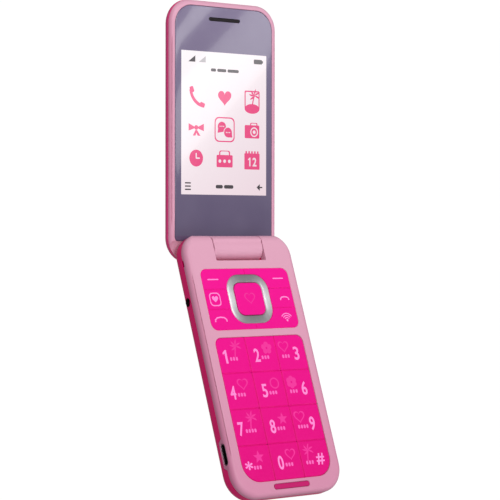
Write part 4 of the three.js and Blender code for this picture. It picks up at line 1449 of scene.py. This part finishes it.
def build_digit_keys():
    """Twelve keys in a grid, each with its digit."""
    wide, high = setting("digit_width"), setting("digit_height")
    edge, bold = setting("key_edge"), setting("print_bold")
    for index, (name, character) in enumerate(DIGITS.items()):
        row, column = divmod(index, 3)
        span = Span(name)
        corners = [KEY_CORNER] * 4
        if row == 0 and column != 1:
            corners[0 if column == 0 else 1] = PAD_TOP_CORNER
        if row == 3 and column != 1:
            corners[3 if column == 0 else 2] = PAD_FOOT_CORNER
        across, up = SIGN_SHARE.get(character, (1, 1))
        plain = character == "1"
        digit = [one(high)] if plain else glyph(character, wide * across, high * up, bold)
        prints = key_marks(name, column, span.x, span.y)
        place = (span.x + DIGIT_SHIFT[column], span.y - 0.5)
        prints.append(([moved(loop, *place) for loop in digit], PRINT))
        outline = rounded(span.x0, span.y0, span.x1, span.y1, tuple(corners))
        body = loft(outline, key_levels(span, edge), None, prints)
        finished(body, f"digit_{name}", BASE, [name], key_finishes())


def handset_arc(width, height, weight):
    """A lying handset: a bow with turned-down ends."""
    half = [(0, 0.5), (0.3, 0.4), (0.49, 0.0), (0.5, -0.45)]
    line = [(-x, y) for x, y in half[:0:-1]] + half
    return stroke([(x * width, y * height) for x, y in line], weight)


def function_marks():
    """Printed marks of the six function keys, by node: groups of loops about each mark's place."""
    dash = [[bar(5.4, 0.5)]]
    ripples = [[stroke(arc(radius, 35, 145), 0.4)] for radius in (1.2, 2.1, 3.0)]
    return {
        "softkey_left": dash, "softkey_right": dash,
        "shortcut_key": [outlined(bar(5.4, 5.6, 0.3), 0.84), [moved(heart(), 0, 0, 3.1)]],
        "end_key": [[handset_arc(4.2, 1.5, 0.55)]],
        "call_key": [[handset_arc(5.6, 2.0, 0.55)]],
        "sound_key": [*ripples, [moved(disc(0.5), 0, 0.1)]],
    }


def ring_outline(grow=0.0):
    ring = Span("nav_ring")
    width, length = ring.wide + 2 * grow, ring.long + 2 * grow
    return centred(ring.x, ring.y, width, length, RING_CORNER + grow)


def build_function_keys():
    """Six keys round the navigation ring."""
    nav, _ = panel_outlines()
    edge = setting("key_edge") / 2
    for name, groups in function_marks().items():
        span = Span(name)
        # past the panel's outline, which trims the key, on the key's outer sides
        low = span.y0 - (1 if name in ("call_key", "sound_key") else 0)
        high = span.y1 + (1 if name.startswith("softkey") else 0)
        left, right = (0, 1) if span.x > 0 else (1, 0)
        own = rounded(span.x0 - left, low, span.x1 + right, high, 0.3)()
        shape = region([nav(), own], [ring_outline(0.2)()])
        place = MARK_PLACES[name]
        prints = [([moved(loop, *place) for loop in group], PRINT) for group in groups]
        body = loft(shrinking(shape), key_levels(span, edge), None, prints)
        finished(body, f"function_{name}", BASE, [name], key_finishes())


def build_navigation():
    """The metal ring with its rounded crown, and the centre key."""
    ring = Span("nav_ring")
    z0, z1 = ring.z0, ring.z1
    crown = [
        (0.12, z0), (0, z0 + 0.12), (0, z1 - 0.52), (0.06, z1 - 0.42), (0.38, z1 - 0.2),
        (0.5, z1 - 0.15), (1.0, z1 - 0.06), (1.65, z1), (2.3, z1 - 0.06), (2.8, z1 - 0.17),
        (2.92, z1 - 0.22), (3.22, z1 - 0.46), (RING_RIM, z1 - 0.56), (RING_RIM, z0 + 0.12),
        (RING_RIM - 0.12, z0),
    ]
    body = loft(ring_outline(), crown, closed=True)
    finished(body, "metal_ring", BASE, ["nav_ring"], [finish("nav_metal")], FINE_SHARP)
    key = Span("nav_center_key")
    outline = centred(key.x, key.y, key.wide, key.long, RING_CORNER - RING_RIM - 0.2)
    prints = [(outlined(moved(heart(), key.x, key.y, 5.6), 0.8), TINT)]
    body = loft(outline, button_levels(key.z0, 0.5, 0.35, key.z1), None, prints)
    finished(body, "centre_button", BASE, ["nav_center_key"], key_finishes())


# ---------------------------------------------------------------- front glass and its picture
GROUND, PINK, DARK, PALE = 1, 2, 3, 4  # material slots of the glass after its border
PICTURE_SLOTS = ("front_glass", "picture_ground", "picture_pink", "picture_dark", "picture_pale")
MESH_PITCH = 0.42
MESH_COUNT = 33


def picture():
    """Everything on the lit display, bottom layer first, about the middle of the lit area."""
    marks = [([bar(LIT[0], LIT[1], 0.004)], GROUND)]

    def add(slot, loop, x=0.0, y=0.0, size=1.0):
        marks.append(([moved(loop, x, y, size)], slot))

    def add_frame(slot, outer, share, x, y):
        marks.append((outlined(moved(outer, x, y), share), slot))

    # status row
    for x, slot in ((-16.4, DARK), (-11.2, PALE)):
        add(slot, [(-1.8, -1.2), (1.7, -1.2), (1.7, 1.4)], x, 25.6)
    add(DARK, bar(4.3, 1.9, 0.2), 17.2, 26.1)
    add(DARK, bar(0.5, 1.0, 0.3), 19.6, 26.1)
    # title and button labels as plain bars
    for x, width in ((-5.6, 2.6), (-1.4, 4.6), (4.4, 5.8)):
        add(DARK, bar(width, 1.25, 0.45), x, 21.6)
    for x, width in ((-2.6, 3.6), (2.2, 4.8)):
        add(DARK, bar(width, 1.45, 0.45), x, -25.5)
    for y in (-24.2, -25.5, -26.8):
        add(DARK, bar(3.0, 0.55), -18.3, y)
    add(DARK, bar(2.6, 0.55), 18.4, -25.5)
    add(DARK, [(16.6, -25.5), (18.3, -26.9), (18.3, -24.1)])
    left, middle, right = -14.2, 0.1, 14.2
    upper, centre, lower = 10.1, -2.3, -14.2
    # handset
    add(PINK, stroke(arc(7.2, 186, 262, left + 4.4, upper + 3.9), 1.35))
    add(PINK, moved(turned(bar(2.5, 1.9, 0.3), -68), left - 2.2, upper + 3.2))
    add(PINK, moved(turned(bar(2.5, 1.9, 0.3), -20), left + 3.0, upper - 2.8))
    # heart
    add(PINK, heart(), middle, upper + 0.2, 7.0)
    # picture with a palm on an island
    add_frame(PINK, bar(7.8, 7.6, 0.08), 0.86, right, upper + 0.2)
    for loop in palm():
        add(PINK, loop, right + 0.7, upper + 0.9, 6.4)
    add(PINK, [(x * 7.7, y * 4.0) for x, y in disc(0.5)], right, upper - 3.4)
    # ribbon
    for side in (-1, 1):
        add(PINK, [(0, 0), (side * 3.8, 1.7), (side * 3.8, -1.3)][::side], left, centre + 0.3)
    add(PINK, bar(1.8, 1.8, 0.4), left, centre + 0.4)
    add(PINK, [(-0.5, -0.6), (0.4, -0.6), (2.1, -2.9), (0.7, -2.9)], left, centre)
    add(PINK, [(-1.7, -2.9), (-0.4, -2.9), (0.5, -0.6), (-0.4, -0.6)], left, centre)
    # two speech bubbles in a selected frame
    add_frame(PINK, bar(10.2, 10.1, 0.2), 0.9, middle, centre)
    add(PINK, disc(2.1), middle - 1.4, centre + 1.1)
    add(PINK, [(-3.6, -1.4), (-1.4, -1.0), (-3.2, 1.2)], middle, centre)
    add(GROUND, disc(2.3), middle + 1.7, centre - 1.1)
    add(PINK, disc(2.0), middle + 1.7, centre - 1.1)
    add(PINK, [(1.6, -3.1), (3.9, -3.1), (3.7, -1.1)], middle, centre)
    for x, y in ((-2.3, 1.3), (-1.4, 1.3), (-0.5, 1.3), (0.9, -1.1), (1.7, -1.1), (2.5, -1.1)):
        add(GROUND, disc(0.26, 10), middle + x, centre + y)
    # camera
    add(PINK, bar(7.6, 5.4, 0.1), right, centre - 0.4)
    add_frame(PINK, bar(3.8, 2.2, 0.25), 0.72, right + 0.9, centre + 2.2)
    add(GROUND, disc(2.0), right + 1.1, centre - 0.5)
    add(PINK, disc(1.5), right + 1.1, centre - 0.5)
    add(GROUND, disc(0.75), right + 1.1, centre - 0.5)
    # clock
    add(PINK, disc(3.4, 40), left, lower)
    add(GROUND, bar(0.55, 2.2), left, lower + 1.0)
    add(GROUND, bar(2.0, 0.55), left + 0.8, lower)
    # case
    add(PINK, bar(8.2, 5.0, 0.1), middle, lower - 0.9)
    add_frame(PINK, bar(5.6, 3.0, 0.3), 0.78, middle, lower + 1.9)
    for x in (-2.4, 0, 2.4):
        add(GROUND, disc(0.7, 16), middle + x, lower - 0.9)
    # calendar
    add(PINK, bar(7.9, 6.6, 0.05), right, lower - 0.7)
    for i in range(5):
        add(PINK, bar(0.8, 1.3, 0.3), right - 3.0 + 1.5 * i, lower + 2.9)
    add(GROUND, one(5.5), right - 1.4, lower - 0.9, 0.65)
    two = glyph("2", 2.1, 3.6, 0.12)
    marks.append(([moved(loop, right + 1.3, lower - 0.9) for loop in two], GROUND))
    return marks


def build_front_glass():
    """The laminated front glass with the display's picture behind it."""
    middle = DISPLAY.y1 - LIT_MARGIN - LIT[1] / 2
    prints = [([moved(loop, 0, middle) for loop in group], slot) for group, slot in picture()]
    body = loft(window_outline(), button_levels(GLASS.z0, 0.2, 0.2, FACE, 4), None, prints)
    materials = [finish(slot) for slot in PICTURE_SLOTS]
    slot = centred(EAR.x, EAR.y, EAR_SLOT[0], EAR_SLOT[1], EAR_SLOT[1] / 2 - 0.01)
    body = cut(painted(body, materials), flared(slot, GLASS.z0 - 1, FACE, 0.12))
    finished(body, "front_glass", LID, ["main_window"], materials)


def build_ear_mesh():
    """The woven mesh behind the earpiece slot: a plate with rows of small knots."""
    plate = loft(
        centred(EAR.x, EAR.y, EAR.wide, EAR.long, EAR.long / 2 - 0.02),
        pad_levels(EAR.z0, EAR.z1 - 0.06, 0.05),
    )
    levels = [(0, EAR.z1 - 0.1), (0, EAR.z1 - 0.03), (0.05, EAR.z1)]
    knot = loft(centred(0, 0, 0.3, 0.3, 0.05), levels)
    knots = rows_of(
        knot, (EAR.x - MESH_PITCH * (MESH_COUNT - 1) / 2, EAR.y - MESH_PITCH, 0),
        MESH_COUNT, (MESH_PITCH, 0, 0), 3, (0, MESH_PITCH, 0), "dark_plastic",
    )
    finished(loose_with(plate, knots), "ear_mesh", LID, ["earpiece_grille"], [finish("dark_plastic")])


# ---------------------------------------------------------------- outer window, camera and flash
CAMERA = Span("camera_module", LID)
FLASH = Span("flash_lens", LID)
OUTER = Span("outer_display", LID)
WINDOW_FACE = -REAR.z0


def build_rear_window():
    """The dark outer window with holes for the camera and the flash."""
    outline = centred(0, REAR.y, REAR.wide, REAR.long, REAR_CORNER)
    screen = moved(bar(OUTER.wide, OUTER.long, 0.06), -OUTER.x, OUTER.y)
    prints = [(outlined(screen, 0.985), 1)]
    body = loft(outline, button_levels(-REAR.z1, 0.2, 0.2, WINDOW_FACE, 4), None, prints)
    lens_hole = CAMERA.wide / 2 + 0.25
    flash_hole = FLASH.wide / 2 + 0.2
    materials = [finish("rear_glass"), finish("dark_plastic")]
    body = cut(
        painted(body, materials),
        flared(circle(-CAMERA.x, CAMERA.y, lens_hole), -REAR.z1 - 1, WINDOW_FACE, 0.12),
        flared(circle(-FLASH.x, FLASH.y, flash_hole), -REAR.z1 - 1, WINDOW_FACE, 0.1),
    )
    finished(body, "rear_glass", LID_BACK, ["outer_window"], materials)


def build_camera():
    """The camera's ring with its sunk lens."""
    face = WINDOW_FACE
    at = Matrix.Translation((-CAMERA.x, CAMERA.y, 0))
    radius = CAMERA.wide / 2
    depth = -CAMERA.z1
    ring = lathe([
        (0, depth), (radius, depth), (radius, face - 0.12), (radius - 0.12, face - 0.02),
        (radius - 0.5, face), (radius - 0.65, face - 0.08), (radius - 0.9, face - 0.5),
        (radius - 1.5, face - 0.75), (radius - 1.55, face - 0.62), (radius - 2.1, face - 0.5),
        (radius - 2.8, face - 0.42), (0, face - 0.4),
    ], at, 72)
    finished(ring, "camera_ring_and_lens", LID_BACK, ["camera_module"], [finish("lens")], FINE_SHARP)


def build_flash():
    """The flash's cover with its fine rings."""
    face = WINDOW_FACE
    at = Matrix.Translation((-FLASH.x, FLASH.y, 0))
    radius = FLASH.wide / 2
    rings = [(radius * (1 - i / 8), face - 0.2 + 0.05 * (i % 2) + 0.012 * i) for i in range(1, 8)]
    side = [(0, -FLASH.z1), (radius, -FLASH.z1), (radius, face - 0.3)]
    body = lathe([*side, *rings, (0, face - 0.1)], at, 40)
    finished(body, "flash_cover", LID_BACK, ["flash_lens"], [finish("diffuser")], FINE_SHARP)


# ---------------------------------------------------------------- sockets, trim and screws
CONTACTS = (12, 0.5)  # count and pitch
JACK_BORE = 1.55
COLLAR_RADIUS = 1.7


def build_data_socket():
    """The data socket's shell and tongue, with the contacts on it."""
    outline = centred(-USB.y, USB.z, USB.long, USB.tall, USB.tall / 2 - 0.01)
    lip, floor, back = -USB.x0, -USB.x1 + 1.0, -USB.x1
    shell = loft(outline, [
        (0.1, back), (0, back + 0.1), (0, lip - 0.15), (0.06, lip - 0.03), (0.15, lip),
        (0.24, lip - 0.03), (0.3, lip - 0.15), (0.3, floor),
    ], LEFT_WALL)
    levels = [(0, floor - 0.2), (0, lip - 1.2), (0.15, lip - 1.0)]
    tongue = loft(centred(-USB.y, USB.z, 6.6, 0.7, 0.3), levels, LEFT_WALL)
    finished(join(shell, tongue), "data_socket", BASE, ["usb_socket"], [finish("socket_steel")])
    pin = loft(centred(0, 0, 0.25, 0.06, 0.02), [(0, floor), (0, lip - 1.4)], LEFT_WALL)
    count, pitch = CONTACTS
    start = (0, USB.y - (count - 1) / 2 * pitch, USB.z + 0.36)
    pins = rows_of(pin, start, count, (0, pitch, 0), 1, (0, 0, 0), "contact_gold")
    pins.name = pins.data.name = "socket_contacts"
    pins.data.transform(TO_METRES)
    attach(pins, "keypad_half")


def build_headphone_socket():
    """The headphone socket, whose collar fills its hole in the wall."""
    outer = -JACK.x0
    body = loft(
        centred(-JACK.y, JACK.z, JACK.long, JACK.tall, 0.6),
        pad_levels(-JACK.x1, outer - 0.9, 0.2), LEFT_WALL,
    )
    levels = [(0, outer - 2.0), (0, outer - 0.1), (0.08, outer)]
    collar = loft(circle(-JACK.y, JACK.z, COLLAR_RADIUS), levels, LEFT_WALL)
    hole = flared(circle(-JACK.y, JACK.z, JACK_BORE), -JACK.x1 + 1.5, outer, 0.1, LEFT_WALL)
    body = cut(join(body, collar), hole)
    finished(body, "headphone_socket", BASE, ["audio_jack"], [finish("dark_plastic")])


def build_bumper():
    """The rubber bumper that meets the shut lid."""
    strip = Span("closing_bumper")
    outline = centred(0, strip.y, strip.wide, strip.long, strip.long / 2 - 0.02)
    body = loft(outline, button_levels(strip.z0, 0.45, 0.2, strip.z1))
    finished(body, "rubber_bumper", BASE, ["closing_bumper"], [finish("bumper_rubber")])


def build_rocker():
    """The volume rocker with a shallow dip across its middle."""
    key = Span("volume_rocker")
    face = key.x1
    outline = centred(key.y, key.z, key.long, key.tall, key.tall / 2 - 0.2)
    body = loft(outline, [(0, key.x0), *over(0.32, 0.32, face)], RIGHT_WALL)
    levels = [(0.9, face - 0.18), (0.2, face - 0.05), (-0.5, face + 0.3)]
    dip = loft(centred(key.y, key.z, 2.4, key.tall + 1, 0.5), levels, RIGHT_WALL)
    finished(cut(body, dip), "volume_key", BASE, ["volume_rocker"], [finish("shell_magenta")])


def build_screws():
    """Four cross-head screws under the battery cover."""
    head, tip = -SCREW.z0, -SCREW.z1
    body = lathe([
        (0, tip), (0.45, tip), (0.7, tip + 0.5), (0.7, head - 0.65), (1.35, head - 0.65),
        (1.35, head - 0.25), (1.2, head - 0.08), (0.9, head), (0, head),
    ], FACE_DOWN, 32)
    arms = [
        block(-x, x, -y, y, -head - 0.5, -head + 0.4, 0.05) for x, y in ((0.8, 0.16), (0.16, 0.8))
    ]
    body = cut(body, *arms)
    left, right = sorted({round(x, 3) for x, _ in screw_places()})
    foot, head = sorted({round(y, 3) for _, y in screw_places()})
    body = rows_of(body, (left, foot, 0), 2, (right - left, 0, 0), 2, (0, head - foot, 0), "steel")
    finished(body, "cross_head_screws", BASE, BASE_SCREWS, [finish("steel")])


def finish_inner_parts():
    """Better finishes on the frame's own inner pieces."""
    for name, node in frame["nodes"].items():
        if not node.hide_render:
            node.data.materials.clear()
            node.data.materials.append(finish(SLOT_OF[name]))


# ---------------------------------------------------------------- stage
CAMERA_PLACE = Vector((-0.45033, -0.14942, 0.56211))
CAMERA_TURN = [math.radians(angle) for angle in (24.500, -35.207, -15.051)]
CAMERA_LENS = 132.264
TABLE_HEIGHT = -0.0056  # just below the lid's hinge end
FLOOR_HALF = 14.0
WORLD_LIGHT = 0.35
CARD_HEIGHT = 0.6  # of the lights that the glass mirrors, in metres above the lid
CARD_SLANT = -47  # degrees


def add_light(name, place, width, height, power):
    """A soft rectangular light with a place of its own, which the camera doesn't see."""
    light = bpy.data.lights.new(name, "AREA")
    light.shape = "RECTANGLE"
    light.size, light.size_y, light.energy = width, height, power
    holder = bpy.data.objects.new(name, light)
    bpy.context.scene.collection.objects.link(holder)
    holder.matrix_world = place
    holder.visible_camera = False


def add_area(name, place, target, size, power):
    """A soft square light that looks at target."""
    direction = Vector(target) - Vector(place)
    turn = direction.to_track_quat("-Z", "Y").to_matrix().to_4x4()
    add_light(name, Matrix.Translation(place) @ turn, size, size, power)


def add_camera():
    scene = bpy.context.scene
    camera = bpy.data.objects.new("camera", bpy.data.cameras.new("camera"))
    camera.data.lens = CAMERA_LENS
    camera.data.clip_start = 0.01
    camera.location = CAMERA_PLACE
    camera.rotation_euler = CAMERA_TURN
    scene.collection.objects.link(camera)
    scene.camera = camera
    scene.view_settings.view_transform = "Standard"


def add_floor():
    """A wide white floor that glows, takes no shadow and lights nothing."""
    corners = ((-1, -1), (1, -1), (1, 1), (-1, 1))
    bm = bmesh.new()
    bm.faces.new([bm.verts.new((x * FLOOR_HALF, y * FLOOR_HALF, TABLE_HEIGHT)) for x, y in corners])
    floor = to_object(bm)
    floor.name = floor.data.name = "studio_floor"
    paint = Paint("studio_floor_paper")
    floor.data.materials.append(paint.set(
        Base_Color=paint.mix(paint.noise(8), (0.02, 0.02, 0.02), (0.04, 0.04, 0.04)),
        Roughness=0.9, Specular_IOR_Level=0.0, Emission_Color=(1, 1, 1), Emission_Strength=1.0,
    ))
    floor.visible_diffuse = False
    floor.visible_glossy = False


def add_world():
    world = bpy.data.worlds.new("studio")
    world.use_nodes = True
    background = world.node_tree.nodes["Background"]
    background.inputs["Color"].default_value = (1, 1, 1, 1)
    background.inputs["Strength"].default_value = WORLD_LIGHT
    bpy.context.scene.world = world


def add_glass_card(name, place, width, length, radiance):
    """A slanting light whose reflection covers a stretch of the lid's glass, given in millimetres."""
    viewer = LID.inverted() @ CAMERA_PLACE
    away = viewer.z - FACE * MM
    grown = 1 + CARD_HEIGHT / away
    spot = Vector((place[0] * MM, place[1] * MM))
    far_spot = viewer.xy + (spot - viewer.xy) * grown
    wide, long = width * MM * grown, length * MM * grown
    slant = Matrix.Rotation(math.radians(CARD_SLANT), 4, "Z")
    above = LID @ Matrix.Translation((*far_spot, FACE * MM + CARD_HEIGHT)) @ slant
    add_light(name, above, wide, long, radiance * math.pi * wide * long)


def add_lights():
    """A soft light from above, a weak one from the right, and two that the glass mirrors."""
    middle = (0.0, 0.03, 0.01)
    add_area("key_light", (-0.2, 0.05, 1.05), middle, 0.7, 8.0)
    add_area("fill_light", (0.75, -0.5, 0.5), middle, 0.5, 1.6)
    add_glass_card("glass_light_wide", (8.3, 79.0), 24, 120, 2.2)
    add_glass_card("glass_light_slim", (-18.2, 91.0), 7, 60, 3.0)


# ---------------------------------------------------------------- operators and panel
class PhoneOperator:
    """What the phone's operators share"""

    bl_options = {"REGISTER", "UNDO"}
    steps = ()

    def execute(self, context):
        for step in type(self).steps:
            step()
        return {"FINISHED"}


class PHONE_OT_stage(PhoneOperator, bpy.types.Operator):
    """Add the camera, the glowing floor and the soft lights"""

    bl_idname = "phone.stage"
    bl_label = "Stage"
    steps = (add_camera, add_floor, add_world, add_lights)


class PHONE_OT_keypad_half(PhoneOperator, bpy.types.Operator):
    """Build the keypad half's front frame, rear case and battery cover"""

    bl_idname = "phone.keypad_half"
    bl_label = "Keypad Half Housings"
    steps = (build_front_frame, build_rear_case, build_cover_panel)


class PHONE_OT_lid(PhoneOperator, bpy.types.Operator):
    """Build the lid's front frame with the hinge barrel, and its outer shell"""

    bl_idname = "phone.lid"
    bl_label = "Lid Housings"
    steps = (build_lid_front, build_lid_back)


class PHONE_OT_digit_keys(PhoneOperator, bpy.types.Operator):
    """Build the twelve digit keys with their print"""

    bl_idname = "phone.digit_keys"
    bl_label = "Digit Keys"
    steps = (build_digit_keys,)


class PHONE_OT_function_keys(PhoneOperator, bpy.types.Operator):
    """Build the six keys round the navigation ring"""

    bl_idname = "phone.function_keys"
    bl_label = "Function Keys"
    steps = (build_function_keys,)


class PHONE_OT_navigation(PhoneOperator, bpy.types.Operator):
    """Build the metal navigation ring and the centre key"""

    bl_idname = "phone.navigation"
    bl_label = "Navigation Ring"
    steps = (build_navigation,)


class PHONE_OT_front_glass(PhoneOperator, bpy.types.Operator):
    """Build the front glass with its picture, and the earpiece mesh"""

    bl_idname = "phone.front_glass"
    bl_label = "Front Glass"
    steps = (build_front_glass, build_ear_mesh)


class PHONE_OT_rear_window(PhoneOperator, bpy.types.Operator):
    """Build the outer window, the camera and the flash"""

    bl_idname = "phone.rear_window"
    bl_label = "Outer Window"
    steps = (build_rear_window, build_camera, build_flash)


class PHONE_OT_sockets(PhoneOperator, bpy.types.Operator):
    """Build the data socket and the headphone socket"""

    bl_idname = "phone.sockets"
    bl_label = "Sockets"
    steps = (build_data_socket, build_headphone_socket)


class PHONE_OT_trim(PhoneOperator, bpy.types.Operator):
    """Build the bumper, the volume rocker and the base's screws"""

    bl_idname = "phone.trim"
    bl_label = "Trim and Screws"
    steps = (build_bumper, build_rocker, build_screws)


class PHONE_OT_inner_parts(PhoneOperator, bpy.types.Operator):
    """Give the frame's inner pieces their finishes"""

    bl_idname = "phone.inner_parts"
    bl_label = "Inner Part Finishes"
    steps = (finish_inner_parts,)


OPERATORS = (
    PHONE_OT_stage, PHONE_OT_keypad_half, PHONE_OT_lid, PHONE_OT_digit_keys, PHONE_OT_function_keys,
    PHONE_OT_navigation, PHONE_OT_front_glass, PHONE_OT_rear_window, PHONE_OT_sockets, PHONE_OT_trim,
    PHONE_OT_inner_parts,
)


class PHONE_PT_looks(bpy.types.Panel):
    """Lists the phone's sizes, colours and operators"""

    bl_label = "Phone"
    bl_idname = "PHONE_PT_looks"
    bl_space_type = "VIEW_3D"
    bl_region_type = "UI"
    bl_category = "Phone"

    def draw(self, context):
        for group in (context.scene.phone_sizes, context.scene.phone_colours):
            for name in group.__annotations__:
                self.layout.prop(group, name)
        for operator in OPERATORS:
            self.layout.operator(operator.bl_idname)


CLASSES = (PhoneSizes, PhoneColours, *OPERATORS, PHONE_PT_looks)


def register():
    for cls in CLASSES:
        bpy.utils.register_class(cls)
    bpy.types.Scene.phone_sizes = bpy.props.PointerProperty(type=PhoneSizes)
    bpy.types.Scene.phone_colours = bpy.props.PointerProperty(type=PhoneColours)


def unregister():
    del bpy.types.Scene.phone_colours
    del bpy.types.Scene.phone_sizes
    for cls in reversed(CLASSES):
        bpy.utils.unregister_class(cls)


def main():
    register()
    for operator in OPERATORS:
        group, name = operator.bl_idname.split(".")
        getattr(getattr(bpy.ops, group), name)()


if __name__ == "__main__":
    main()
